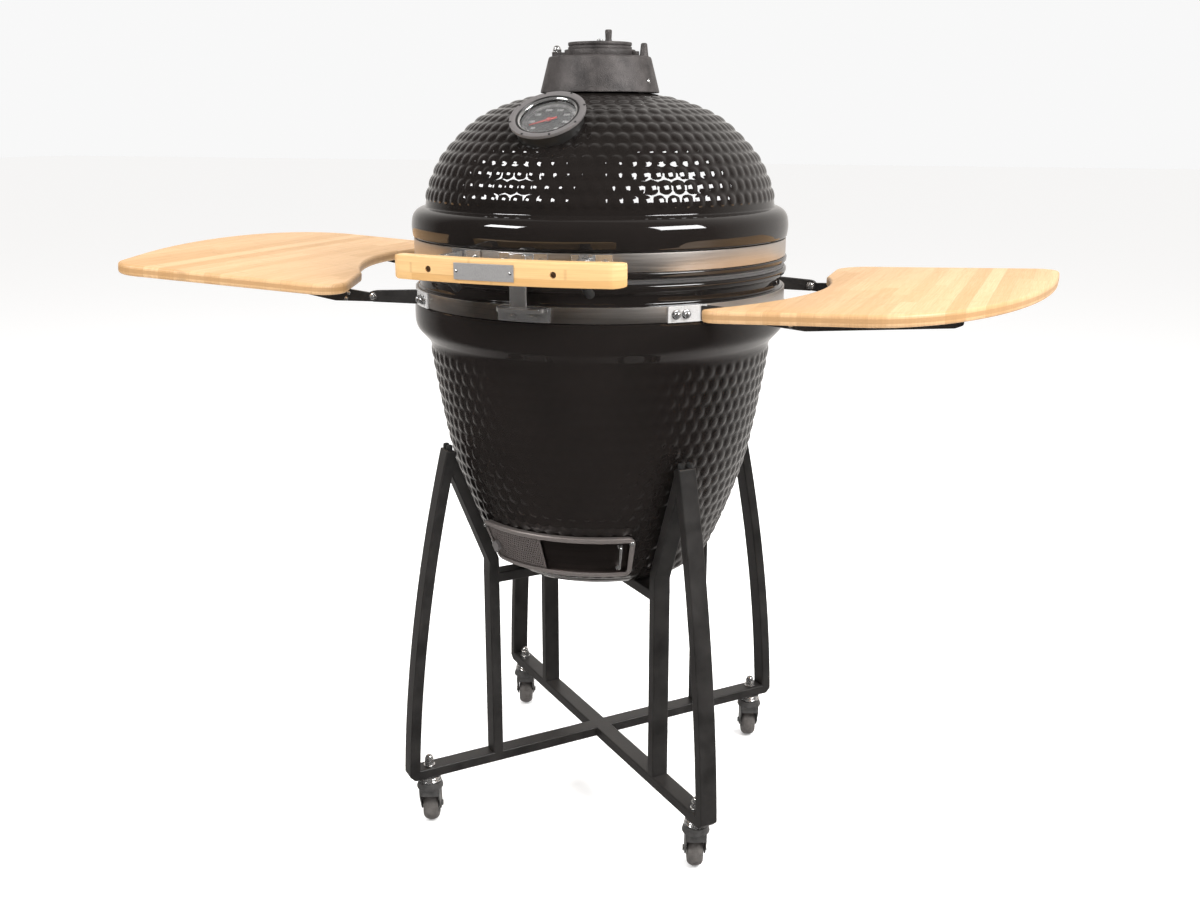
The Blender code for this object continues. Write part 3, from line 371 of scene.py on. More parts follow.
def turned(profile, segments=64, turn=None, to=(0, 0, 0)):
    """A closed (radius, height) outline turned about Z."""
    shape = bmesh.new()
    columns = [[None if r < 1e-6 else shape.verts.new((r * sin(a), -r * cos(a), z)) for r, z in profile]
               for a in (2 * pi * k / segments for k in range(segments))]
    poles = [shape.verts.new((0, 0, z)) if r < 1e-6 else None for r, z in profile]
    for k in range(segments):
        here, there = columns[k], columns[(k + 1) % segments]
        for i in range(len(profile)):
            j = (i + 1) % len(profile)
            corners = list(dict.fromkeys([here[i] or poles[i], here[j] or poles[j],
                                          there[j] or poles[j], there[i] or poles[i]]))
            if len(corners) > 2:
                shape.faces.new(corners)
    return moved(shape, turn, to)


def prism(outline, low, high, normal="Z"):
    put_in = {"X": lambda p, h: (h, p[0], p[1]), "Y": lambda p, h: (p[0], h, p[1]),
              "Z": lambda p, h: (p[0], p[1], h)}[normal]
    return loft([[put_in(p, h) for p in outline] for h in (low, high)])


def block(x, y, z, edge=0.0, steps=2):
    """A box with rounded upright edges."""
    outline = [(x[0], y[0]), (x[1], y[0]), (x[1], y[1]), (x[0], y[1])]
    return prism(rounded(outline, edge, steps) if edge else outline, *z)


def tube(points, radius, sides=12, loop=False, section=None, up=None):
    """A bar along a line of points: round, or with the given (across, up) section."""
    points = [Vector(p) for p in points]
    rings, side = [], None
    count = len(points)
    for i, p in enumerate(points):
        after = points[(i + 1) % count] if loop else points[min(i + 1, count - 1)]
        before = points[i - 1] if loop else points[max(i - 1, 0)]
        along = (after - before).normalized()
        side = Vector(up).cross(along) if up else (side or along.orthogonal())
        side = (side - along * side.dot(along)).normalized()
        across = along.cross(side)
        cut = section or [(radius * cos(2 * pi * k / sides), radius * sin(2 * pi * k / sides))
                          for k in range(sides)]
        rings.append([p + side * a + across * b for a, b in cut])
    return loft(rings, loop)


def rod(start, end, radius, sides=24, edge=0.0004):
    """A round bar with eased ends."""
    start, end = Vector(start), Vector(end)
    length = (end - start).length
    profile = [(0, 0), (radius - edge, 0), (radius, edge), (radius, length - edge), (radius - edge, length),
               (0, length)]
    return turned(profile, sides, facing(end - start), start)


def wall_sheet(r0, r1, z0, z1, a0, a1, steps=24, lean=0.0):
    rings = []
    for k in range(steps + 1):
        a = a0 + (a1 - a0) * k / steps
        rings.append([on_wall(r0, a, z0), on_wall(r1, a, z0), on_wall(r1 + lean, a, z1),
                      on_wall(r0 + lean, a, z1)])
    return loft(rings)


def hexagon(across, low, high, turn=0.0):
    """A nut's body with its corners turned off top and bottom."""
    r = across / sqrt(3)
    ease = 0.08 * across
    levels = ((low, r - ease), (low + ease * 0.6, r), (high - ease * 0.6, r), (high, r - ease))
    return loft([[(c * cos(pi / 3 * k + turn), c * sin(pi / 3 * k + turn), z) for k in range(6)]
                 for z, c in levels])


def acorn(at, axis, across=0.010, height=0.0065, dome=0.0045, turn=0.0):
    """An acorn nut on its washer: hexagon, collar and dome."""
    place = facing(axis)
    r = across * 0.47
    washer = turned(rounded([(0, 0), (across * 0.66, 0), (across * 0.66, 0.0009), (0, 0.0009)], 0.0003,
                            keep=(0, 3)), 28)
    cap = turned([(0, height * 0.7), (r, height * 0.7), *[(r * cos(radians(t)),
                                                           height * 0.92 + dome * sin(radians(t)))
                                                          for t in range(0, 90, 15)],
                  (0, height * 0.92 + dome)], 28)
    return [moved(s, place, at) for s in (washer, hexagon(across, 0.0007, height * 0.9, turn), cap)]


def carved(shape, cutters):
    """The shape with the cutters taken out of it."""
    objects = []
    for one in (shape, *cutters):
        bmesh.ops.recalc_face_normals(one, faces=one.faces)
        mesh = bpy.data.meshes.new("held")
        one.to_mesh(mesh)
        one.free()
        objects.append(bpy.data.objects.new("held", mesh))
        bpy.context.scene.collection.objects.link(objects[-1])
    for cutter in objects[1:]:
        step = objects[0].modifiers.new("Boolean", "BOOLEAN")
        step.operation, step.solver, step.object = "DIFFERENCE", "EXACT", cutter
    bpy.context.view_layer.update()
    result = bmesh.new()
    result.from_object(objects[0], bpy.context.evaluated_depsgraph_get())
    for held in objects:
        mesh = held.data
        bpy.data.objects.remove(held)
        bpy.data.meshes.remove(mesh)
    return result


def piece(name, body, parts, replaces=(), bevel=0.0, angle=32, place=None):
    """One object from (shapes, material) groups. place moves a piece made in its own frame."""
    whole = bmesh.new()
    mesh = bpy.data.meshes.new(name)
    for index, (shapes, look) in enumerate(parts):
        mesh.materials.append(M[look])
        for shape in shapes if isinstance(shapes, list) else [shapes]:
            bmesh.ops.recalc_face_normals(shape, faces=shape.faces)
            for face in shape.faces:
                face.material_index, face.smooth = index, True
            held = bpy.data.meshes.new("held")
            shape.to_mesh(held)
            shape.free()
            whole.from_mesh(held)
            bpy.data.meshes.remove(held)
    whole.to_mesh(mesh)
    whole.free()
    return publish(name, mesh, body, replaces, bevel, angle, place)


def publish(name, mesh, body, replaces=(), bevel=0.0, angle=32, place=None):
    mesh.set_sharp_from_angle(angle=radians(angle))
    made = bpy.data.objects.new(name, mesh)
    bpy.context.scene.collection.objects.link(made)
    if place is not None:
        made.matrix_world = place
    if bevel:
        step = made.modifiers.new("Bevel", "BEVEL")
        step.width, step.segments, step.limit_method, step.angle_limit = bevel, 2, "ANGLE", radians(35)
        step.harden_normals = True
    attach(made, body)
    if replaces:
        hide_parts(*([replaces] if isinstance(replaces, str) else replaces))
    return made


# Ceramic shells

def spaced(line, step):
    """Points along a line, no more than step apart."""
    result = [line[0]]
    for a, b in zip(line, line[1:]):
        count = max(1, ceil(hypot(b[0] - a[0], b[1] - a[1]) / step))
        result += [(a[0] + (b[0] - a[0]) * k / count, a[1] + (b[1] - a[1]) * k / count)
                   for k in range(1, count + 1)]
    return result


def bump_heights(radius, travel, start, rows, columns):
    """The glaze's round bumps in staggered rows, as heights over a (profile point, column) grid."""
    theta = np.arange(columns) * 2 * pi / columns
    height = np.zeros((len(radius), columns))
    count = None
    for row in range(rows):
        s = start + BUMP_PITCH * (row + 0.5)
        near = np.abs(travel - s) < BUMP_R
        if not near.any():
            continue
        r = float(np.interp(s, travel, radius))
        wanted = 2 * pi * r / BUMP_PITCH
        if count is None or abs(wanted - count) > 5:
            count = round(wanted)
        turn = theta / (2 * pi) * count + 0.5 * (row % 2)
        off = (turn - np.round(turn)) * 2 * pi / count
        away = ((travel[near, None] - s) ** 2 + (radius[near, None] * off[None, :]) ** 2) / BUMP_R ** 2
        dome = np.clip(1 - away, 0, None)
        height[near] = np.maximum(height[near], BUMP_H * dome ** 0.85 * (1 - 0.12 * dome))
    return height


def ceramic(name, body, outer, bumped, inner, replaces, columns=640, window=None):
    """A closed shell of revolution. bumped is the (first, last) index of outer's bumped stretch.

    window is (low z, high z, half angle) of an opening cut through the wall at the front.
    """
    line = outer + inner
    radius, level = np.array([p[0] for p in line]), np.array([p[1] for p in line])
    ahead, behind = np.roll(np.arange(len(line)), -1), np.roll(np.arange(len(line)), 1)
    dr, dz = radius[ahead] - radius[behind], level[ahead] - level[behind]
    length = np.maximum(np.hypot(dr, dz), 1e-9)
    normal_r, normal_z = dz / length, -dr / length
    first, last = bumped
    zone = np.arange(first, last + 1)
    travel = np.concatenate([[0], np.cumsum(np.hypot(np.diff(radius[zone]), np.diff(level[zone])))])
    height = np.zeros((len(line), columns))
    rows = int(travel[-1] / BUMP_PITCH)
    height[zone] = bump_heights(radius[zone], travel, (travel[-1] - rows * BUMP_PITCH) / 2, rows, columns)
    theta = np.arange(columns) * 2 * pi / columns
    out = radius[:, None] + height * normal_r[:, None]
    up = level[:, None] + height * normal_z[:, None]
    points = np.stack([out * np.sin(theta), -out * np.cos(theta), up], axis=-1).reshape(-1, 3)

    here = np.arange(len(line) * columns).reshape(len(line), columns)
    there, above = np.roll(here, -1, axis=1), np.roll(here, -1, axis=0)
    faces = np.stack([here, there, np.roll(above, -1, axis=1), above], axis=-1)
    keep = np.ones(here.shape, bool)
    walls = []
    if window:
        low, high, half = window
        reach = round(half / 360 * columns)
        open_columns = np.r_[np.arange(-reach, reach)] % columns
        inside = (level >= low - 1e-6) & (level <= high + 1e-6)
        spans = inside & inside[ahead]
        keep[np.ix_(spans, open_columns)] = False
        edge_rows = [np.flatnonzero(inside & (np.arange(len(line)) < len(outer))),
                     np.flatnonzero(inside & (np.arange(len(line)) >= len(outer)))]
        for out_row, in_row in ((edge_rows[0][0], edge_rows[1][-1]), (edge_rows[0][-1], edge_rows[1][0])):
            for column in open_columns:
                beside = (column + 1) % columns
                walls.append([here[out_row, column], here[out_row, beside], here[in_row, beside],
                              here[in_row, column]])
        for column in (-reach % columns, reach):
            walls.append([here[row, column] for row in (*edge_rows[0], *edge_rows[1])])
    mesh = bpy.data.meshes.new(name)
    quads = faces[keep].tolist()
    mesh.from_pydata(points.tolist(), [], quads + walls)
    mesh.materials.append(M["glaze"])
    mesh.materials.append(M["clay"])
    row_of = np.concatenate([np.repeat(np.arange(len(line)), columns).reshape(len(line), columns)[keep],
                             np.full(len(walls), len(line))])
    bare = (row_of >= len(outer)).astype(np.int32)
    mesh.polygons.foreach_set("material_index", bare)
    mesh.polygons.foreach_set("use_smooth", np.ones(len(mesh.polygons), bool))
    mesh.validate()
    shape = bmesh.new()
    shape.from_mesh(mesh)
    bmesh.ops.recalc_face_normals(shape, faces=shape.faces)
    shape.to_mesh(mesh)
    shape.free()
    return publish(name, mesh, body, replaces, angle=50)


def shells():
    bowl = curve([(0.1480, 0.3970), (0.1650, 0.4155), (0.1950, 0.4862), (0.2210, 0.5692), (0.2400, 0.6745),
                  (0.2472, 0.7240)], 8)
    rim = curve([(0.2505, 0.7300), (0.2570, 0.7372), (0.2650, 0.7465), (0.2680, 0.7560), (0.2684, 0.7700),
                 (0.2680, 0.7800)], 3)
    upper = rounded([(0.2672, 0.7832), (0.2636, 0.7838), (0.2636, 0.8062), (0.2598, 0.8075),
                     (0.2598, 0.8198), (0.2618, 0.8205), (0.2665, 0.8236), (0.2684, 0.8280),
                     (0.2680, 0.8318), (0.2655, 0.8332)], 0.0014, 2, closed=False)
    foot = [(0.1180, 0.3880), (0.1300, 0.3882), (0.1400, 0.3905)]
    window = (0.423, 0.466, 24)
    smooth_bowl = with_levels(spaced(bowl, 0.0021), window[:2])
    outer = foot + smooth_bowl + rim + upper
    inner = with_levels([(0.2360, 0.8332), (0.2345, 0.8180), (0.2330, 0.7900), (0.2250, 0.7240),
                         (0.2160, 0.6743), (0.1970, 0.5690), (0.1700, 0.4860), (0.1430, 0.4260),
                         (0.1300, 0.4140), (0.0100, 0.4140), (0.0100, 0.3880)], window[:2])
    ceramic("base_ceramic", "base", outer, (len(foot), len(foot) + len(smooth_bowl) - 1), inner, "base_shell",
            window=window)

    dome = curve([(0.2490, 0.9168), (0.2456, 0.9348), (0.2378, 0.9570), (0.2232, 0.9842), (0.1955, 1.0145),
                  (0.1670, 1.0373), (0.1297, 1.0540), (0.0850, 1.0665)], 8)
    lip = rounded([(0.2655, 0.8399), (0.2680, 0.8412), (0.2685, 0.8470), (0.2672, 0.8482), (0.2636, 0.8488),
                   (0.2636, 0.8728), (0.2660, 0.8738)], 0.0010, 2, closed=False)
    roll = curve([(0.2678, 0.8760), (0.2690, 0.8850), (0.2690, 0.8930), (0.2672, 0.9030), (0.2625, 0.9100),
                  (0.2560, 0.9140), (0.2505, 0.9156)], 4)
    smooth_dome = spaced(dome, 0.0021)
    crown = [(0.0820, 1.0672), (0.0780, DOME_TOP), (FLUE_R + 0.001, DOME_TOP), (FLUE_R, DOME_TOP - 0.001)]
    inner = [(FLUE_R, 1.0420), (0.1180, 1.0330), (0.1500, 1.0190), (0.1760, 0.9960), (0.2020, 0.9680),
             (0.2250, 0.9300), (0.2340, 0.8900), (0.2360, 0.8400)]
    outer = lip + roll + smooth_dome + crown
    start = len(lip) + len(roll)
    ceramic("lid_ceramic", "lid", outer, (start, start + len(smooth_dome) - 1), inner, "lid_shell")


def with_levels(line, levels):
    """The line with a point added where it crosses each height."""
    result = [line[0]]
    for a, b in zip(line, line[1:]):
        crossed = [z for z in levels if min(a[1], b[1]) < z < max(a[1], b[1])]
        for z in sorted(crossed, reverse=a[1] > b[1]):
            t = (z - a[1]) / (b[1] - a[1])
            result.append((a[0] + (b[0] - a[0]) * t, z))
        result.append(b)
    return result


def bands():
    for name, body, (low, high) in (("base_band", "base", BASE_BAND), ("lid_band", "lid", LID_BAND)):
        profile = rounded([(0.2638, low), (BAND_R, low), (BAND_R, high), (0.2638, high)], 0.0007, 3)
        piece(name + "_steel", body, [(turned(profile, 192), "band")], name)
    for name, body, low, high in (("base_gasket", "base", 0.8333, 0.8363),
                                  ("lid_gasket", "lid", 0.8367, 0.8397)):
        profile = rounded([(0.2380, low), (0.2652, low), (0.2652, high), (0.2380, high)], 0.0012, 4)
        piece(name + "_felt", body, [(turned(profile, 160), "felt")], name)


# Inner parts

def inner_ceramics():
    profile = [(0, 0.4145), (0.1270, 0.4145), (0.1340, 0.4230), (0.1610, 0.4860), (0.1880, 0.5690),
               (0.2032, 0.6640), (0.2036, 0.6680), (0.1840, 0.6680), (0.1680, 0.5690), (0.1420, 0.4940),
               (0.1180, 0.4860), (0.1010, 0.4860), (0.1010, 0.4800), (0.0860, 0.4800), (0.0860, 0.4360),
               (0, 0.4360)]
    pot = turned(rounded(profile, 0.0035, 3, keep=(0, 15)), 128)
    pot = carved(pot, [wall_sheet(0.06, 0.22, 0.438, 0.464, -22, 22)])
    piece("firebox_clay", "base", [(pot, "clay")], "firebox")
    ring = rounded([(0.1890, 0.6683), (0.2080, 0.6683), (0.2140, 0.7400), (0.1960, 0.7400)], 0.0030, 3)
    piece("fire_ring_clay", "base", [(turned(ring, 144), "clay")], "fire_ring")


def cooking_grid():
    z, rim, wire = 0.7455, 0.2180, 0.0020
    circle = [on_wall(rim - 0.0005, 360 * k / 96, z) for k in range(96)]
    shapes = [tube(circle, 0.0034, 12, loop=True)]
    for k in range(-11, 12):
        x = 0.0180 * k
        reach = sqrt((rim - 0.001) ** 2 - x ** 2)
        shapes.append(rod((x, -reach, z), (x, reach, z), wire, 10, 0.0003))
    for y in (-0.1, 0.1):
        reach = sqrt(rim ** 2 - y ** 2) - 0.001
        shapes.append(rod((-reach, y, z - 0.0026), (reach, y, z - 0.0026), 0.0026, 10))
    piece("cooking_grid_wires", "base", [(shapes, "zinc")], "cooking_grid")


# Hinge

def hinge():
    for name, body, band, spread, x, low, plan in (("hinge_lower", "base", BASE_BAND, 14, 0.0560, 0.7945,
                                                    [(0.2690, 0.7850), (0.2900, 0.7850), (0.3495, 0.8290),
                                                     (0.3495, 0.8440), (0.3235, 0.8480), (0.3035, 0.8480),
                                                     (0.2960, 0.8400), (0.2890, 0.8050), (0.2690, 0.8040)]),
                                                   ("hinge_upper", "lid", LID_BAND, 12, 0.0470, 0.8607,
                                                    [(0.2690, 0.8540), (0.2960, 0.8270), (0.3135, 0.8235),
                                                     *arc((HINGE_Y, HINGE_Z), 0.0130, -80, 80, 12),
                                                     (0.3000, 0.8700), (0.2690, 0.8710)])):
        plate = wall_sheet(BAND_R + GAP, BAND_R + 0.0033, *band, 180 - spread, 180 + spread, 28)
        outline = rounded(plan, 0.0040, 3)
        ears = [prism(outline, s * x - 0.0015, s * x + 0.0015, "X") for s in (-1, 1)]
        piece(f"{name}_plate", body, [([plate, *ears], "band")], f"{name}_bracket",
              bevel=0.0005)
        nuts = []
        for s in (-1, 1):
            nuts += acorn(on_wall(BAND_R + 0.0033, 180 + s * 5, low), on_wall(1, 180 + s * 5))
        piece(f"{name}_nuts", body, [(nuts, "chrome")], bevel=0.0002)
    pin = [rod((-0.0600, HINGE_Y, HINGE_Z), (0.0600, HINGE_Y, HINGE_Z), 0.0040, 28)]
    for s in (-1, 1):
        pin += acorn((s * 0.0578, HINGE_Y, HINGE_Z), (s, 0, 0), 0.0118, 0.0036, 0.0018)
    piece("hinge_pin_bolt", "base", [(pin, "chrome")], "hinge_pin", bevel=0.0002)
    for name, side in (("hinge_spring_left", -1), ("hinge_spring_right", 1)):
        piece(f"{name}_coil", "base", [(spring(side), "zinc")], name)


def spring(side, turns=4, wire=0.0016, radius=0.0078, pitch=0.0048, steps=28):
    start = side * 0.0200
    points = [(start, HINGE_Y - 0.0300, HINGE_Z + radius + 0.006), (start, HINGE_Y - 0.006, HINGE_Z + radius)]
    for k in range(turns * steps + 1):
        a = 2 * pi * k / steps
        points.append((start + side * pitch * k / steps, HINGE_Y + radius * sin(a),
                       HINGE_Z + radius * cos(a)))
    points.append((start + side * (pitch * turns + 0.0005), HINGE_Y - 0.0200, HINGE_Z + radius - 0.0150))
    return tube(points, wire, 12)


# Handle and closure

HANDLE_Z, HANDLE_H, HANDLE_HALF, HANDLE_FRONT, HANDLE_BOW = 0.8555, 0.0298, 0.1535, 0.3470, 0.0185


def handle_y(x, inward=0.0):
    return -(HANDLE_FRONT - inward) + HANDLE_BOW * (x / HANDLE_HALF) ** 2


def bar_section(x, depth, half_height, edge):
    """The bar's chamfered section at x, its ends drawn in by edge."""
    front, back = handle_y(x, edge[0]), handle_y(x, depth - edge[1])
    corner, half = 0.0018, half_height - edge[1]
    low, high = HANDLE_Z - half, HANDLE_Z + half
    plan = [(front, low), (back, low), (back, high), (front, high)]
    return [(x, y, z) for y, z in rounded(plan, corner, 3)]


def handle():
    steps, chamfer = 60, 0.0110
    rings = []
    for k in range(steps + 1):
        x = -HANDLE_HALF + chamfer + 2 * (HANDLE_HALF - chamfer) * k / steps
        rings.append(bar_section(x, 0.0240, HANDLE_H / 2, (0, 0)))
    ends = [(HANDLE_HALF, (0.0095, 0.0022)), (HANDLE_HALF - 0.0010, (0.0082, 0.0008)),
            (HANDLE_HALF - 0.0060, (0.0040, 0)), (HANDLE_HALF - 0.0095, (0.0008, 0))]
    rings = ([bar_section(-x, 0.0240, HANDLE_H / 2, e) for x, e in ends] + rings
             + [bar_section(x, 0.0240, HANDLE_H / 2, e) for x, e in reversed(ends)])
    bar, plugs, holes = loft(rings), [], []
    for x in (-0.0953, 0.0730):
        y = handle_y(x)
        holes.append(rod((x, y - 0.01, HANDLE_Z), (x, y + 0.0060, HANDLE_Z), 0.0041, 40, 0.0))
        dish = [(0, 0), (0.0026, 0.0), (0.0030, 0.0012), (0.0040, 0.0014), (0.0040, -0.0010), (0, -0.0010)]
        plugs.append(turned(dish, 32, facing((0, -1, 0)), (x, y + 0.0046, HANDLE_Z)))
    piece("handle_bar", "lid", [(carved(bar, holes), "handle_wood")], "handle_grip", angle=25)
    piece("handle_plugs", "lid", [(plugs, "plug")])

    y_at = [-0.0570 + 0.0810 * k / 12 for k in range(13)]
    half = 0.0102
    sheet = loft([[(x, handle_y(x) - 0.0003, HANDLE_Z - half), (x, handle_y(x) - 0.0013, HANDLE_Z - half),
                   (x, handle_y(x) - 0.0013, HANDLE_Z + half), (x, handle_y(x) - 0.0003, HANDLE_Z + half)]
                  for x in y_at])
    heads = []
    for x in (-0.0530, 0.0200):
        head = [(0, 0), (0.0019, 0), (0.0019, 0.0003), *[(0.0019 * cos(radians(t)),
                                                          0.0003 + 0.0009 * sin(radians(t)))
                                                         for t in (25, 50, 75)], (0, 0.0012)]
        heads.append(turned(head, 24, facing((0, -1, 0)), (x, handle_y(x) - 0.0012, HANDLE_Z)))
    piece("handle_name_plate_blank", "lid", [(sheet, "plate"), (heads, "chrome")],
          "handle_plate", bevel=0.00025)
    for name, side in (("left", -1), ("right", 1)):
        handle_bracket(name, side)


def handle_bracket(name, side):
    """A bent strap from the lid's band to the bar's back, with a rubber-tipped stop below."""
    a, x = side * 19.0, side * 0.0920
    foot = wall_sheet(BAND_R + GAP, BAND_R + 0.0033, LID_BAND[0] + 0.001, LID_BAND[1] - 0.001, a - 5.5,
                      a + 5.5, 12)
    back = handle_y(x) + 0.0247
    web = prism(rounded([(back + 0.0003, 0.8510), (-0.2570, 0.8510), (-0.2570, 0.8705),
                         (back + 0.0003, 0.8705)], 0.0015, 2), x - 0.0015, x + 0.0015, "X")
    ends = [(u, handle_y(u) + 0.0247) for u in (x - 0.0100, x, x + 0.0100)]
    flange = prism([*ends, *[(u, v + 0.0027) for u, v in reversed(ends)]], 0.8440, 0.8700)
    leg = rod((x, back + 0.0020, 0.8495), (x, back + 0.0300, 0.8340), 0.0042, 24)
    way = Vector((0, 0.0200, -0.0127))
    tip = turned(rounded([(0, 0), (0.0052, 0), (0.0060, 0.0225), (0.0048, 0.0236), (0, 0.0236)], 0.0012, 3,
                         keep=(0, 4)), 32, facing(way), (x, back + 0.0260, 0.8362))
    bolts = []
    for s in (-1, 1):
        bolts += acorn(on_wall(BAND_R + 0.0033, a + s * 3.6, 0.8607), on_wall(1, a + s * 3.6), 0.008,
                       0.0045, 0.0028)
    piece(f"handle_strap_{name}", "lid", [([foot, web, flange, *bolts], "chrome"), (leg, "coat")],
          f"handle_bracket_{name}", bevel=0.0004)
    piece(f"handle_stop_{name}", "lid", [(tip, "black_rubber")])


def closure():
    """The ribbed guide post on the lid, and the strap on the base that it drops into."""
    y = -0.2860
    plan = rounded([(-0.0095, 0.7985), (0.0095, 0.7985), (0.0105, 0.8060), (0.0105, 0.8720),
                    (-0.0105, 0.8720), (-0.0105, 0.8060)], 0.0012, 2)
    post = prism([(x, z) for x, z in plan], y + 0.0006, y + 0.0036, "Y")
    ribs = [tube([(s * 0.0086, y + 0.0022, z) for z in (0.7990, 0.8040, 0.8300, 0.8560, 0.8712)], 0.0030, 20)
            for s in (-1, 1)]
    foot = wall_sheet(BAND_R + GAP, BAND_R + 0.0033, LID_BAND[0] + 0.001, LID_BAND[1] - 0.001, -7, 7, 16)
    web = block((-0.0100, 0.0100), (y + 0.002, -0.2690), (0.8530, 0.8690))
    bolts = []
    for s in (-1, 1):
        bolts += acorn(on_wall(BAND_R + 0.0033, s * 5.2, 0.8607), on_wall(1, s * 5.2), 0.008, 0.0045, 0.0028)
    piece("closure_guide", "lid", [([post, *ribs, foot, web, *bolts], "chrome")], "closure_post",
          bevel=0.0004)

    foot = wall_sheet(BAND_R + GAP, BAND_R + 0.0033, BASE_BAND[0] + 0.001, BASE_BAND[1] - 0.0005, -7.8, 7.8,
                      20)
    outer = [(-0.0340, -0.2660), *arc((-0.0140, -0.2740), 0.0200, 180, 250, 10),
             *arc((0.0140, -0.2740), 0.0200, 290, 360, 10), (0.0340, -0.2660)]
    strap = carved(prism(rounded(outer, 0.0010, 1), 0.7995, 0.8045),
                   [block((-0.0150, 0.0150), (-0.2915, -0.2775), (0.79, 0.81), 0.0020)])
    bolts = []
    for s in (-1, 1):
        bolts += acorn(on_wall(BAND_R + 0.0033, s * 3.0, 0.7920), on_wall(1, s * 3.0), 0.008, 0.0045, 0.0028)
    piece("closure_catch", "base", [([foot, strap, *bolts], "chrome")], "closure_receiver",
          bevel=0.0004)


# Thermometer

GAUGE_CENTRE, GAUGE_TILT, GAUGE_R = Vector((0, -0.1870, 1.0410)), 56.0, 0.0505


def gauge():
    axis = Vector((0, -cos(radians(GAUGE_TILT)), sin(radians(GAUGE_TILT))))
    turn = facing(axis)

    def on_dial(profile, segments=72):
        return turned(profile, segments, turn, GAUGE_CENTRE)

    def flat(shape, height):
        return moved(moved(shape, to=(0, 0, height)), turn, GAUGE_CENTRE)

    flange = rounded([(0.0420, -0.0045), (GAUGE_R, -0.0045), (GAUGE_R, 0), (0.0452, 0), (0.0420, -0.0008)],
                     0.0007, 2)
    body = rounded([(0.0050, -0.0300), (0.0450, -0.0300), (0.0450, -0.0046), (0.0421, -0.0046),
                    (0.0421, -0.0010), (0.0408, -0.0004), (0.0394, -0.0030), (0.0394, -0.0160),
                    (0.0050, -0.0160)], 0.0006, 2)
    ring = rounded([(0.0384, -0.0060), (0.0393, -0.0060), (0.0393, -0.0015), (0.0380, -0.0022),
                    (0.0368, -0.0034), (0.0368, -0.0042), (0.0384, -0.0050)], 0.0004, 2)
    probe = rounded([(0, -0.0950), (0.0030, -0.0945), (0.0040, -0.0900), (0.0042, -0.0400), (0.0060, -0.0380),
                     (0.0060, -0.0290), (0, -0.0290)], 0.0008, 2, keep=(0, 6))
    piece("gauge_flange", "lid", [(on_dial(flange, 96), "alloy")], angle=25)
    piece("gauge_body", "lid", [(on_dial(body, 96), "dark"), (on_dial(probe, 32), "chrome")],
          "gauge_case")
    piece("gauge_inner_ring", "lid", [(on_dial(ring, 96), "chrome")])
    screws = []
    for k in range(8):
        a = 2 * pi * (k + 0.5) / 8
        at = GAUGE_CENTRE + turn @ Vector((0.0488 * cos(a), 0.0488 * sin(a), -0.0008))
        head = [(0, 0), (0.0017, 0), (0.0017, 0.0010), (0.0012, 0.0015), (0.0007, 0.0015), (0.0006, 0.0009),
                (0, 0.0009)]
        screws.append(turned(head, 20, turn, at))
    piece("gauge_screws", "lid", [(screws, "dark")])

    face = -0.01150
    dial = on_dial([(0.0022, -0.0130), (0.0385, -0.0130), (0.0385, face), (0.0022, face)], 96)
    piece("gauge_face", "lid", [(dial, "dial")], "gauge_dial")
    prints = [flat(turned([(0.0300, 0), (0.0303, 0), (0.0303, 0.0001), (0.0300, 0.0001)], 96), face)]
    low, span, marks = 225.0, 270.0, 70
    for k in range(marks + 1):
        a = radians(low - span * k / marks)
        long = k % 5 == 0
        start, width = (0.0312 if long else 0.0326), (0.00085 if long else 0.00038)
        mark = block((start, 0.0362), (-width / 2, width / 2), (0, 0.00012))
        prints.append(flat(moved(mark, Matrix.Rotation(a, 4, "Z")), face))
    for k in range(8):
        a = radians(low - span * k / 7)
        prints.append(flat(number(str(50 + 50 * k), 0.0062, (0.0238 * cos(a), 0.0238 * sin(a))), face))
    band = [[(r * cos(radians(t)), r * sin(radians(t)), z)
             for r, z in ((0.0312, 0), (0.0362, 0), (0.0362, 0.00006), (0.0312, 0.00006))]
            for t in range(20, 141, 4)]
    piece("gauge_print", "lid", [(prints, "print"), (flat(loft(band), face), "band_print")])

    plan = [(-0.0016, -0.0110), (0.0016, -0.0110), (0.0022, -0.0020), (0.0004, 0.0262), (-0.0004, 0.0262),
            (-0.0022, -0.0020)]
    needle = moved(prism(plan, -0.0105, -0.0097), Matrix.Rotation(radians(118), 4, "Z"))
    hub = turned(rounded([(0, -0.0112), (0.0035, -0.0112), (0.0035, -0.0092), (0.0028, -0.0086),
                          (0, -0.0086)], 0.0004, 2, keep=(0, 4)), 32)
    shaft = turned([(0, -0.0130), (0.0018, -0.0130), (0.0018, -0.0110), (0, -0.0110)], 16)
    piece("gauge_pointer", "needle", [([moved(needle, turn, GAUGE_CENTRE), moved(hub, turn, GAUGE_CENTRE),
                                        moved(shaft, turn, GAUGE_CENTRE)], "needle")],
          "gauge_needle", bevel=0.0001)
    lens = rounded([(0, -0.0062), (0.0384, -0.0062), (0.0384, -0.0050), (0.0300, -0.0046), (0, -0.0044)],
                   0.0002, 1, keep=(0, 4))
    piece("gauge_window", "lid", [(on_dial(lens, 96), "glass")], "gauge_glass")


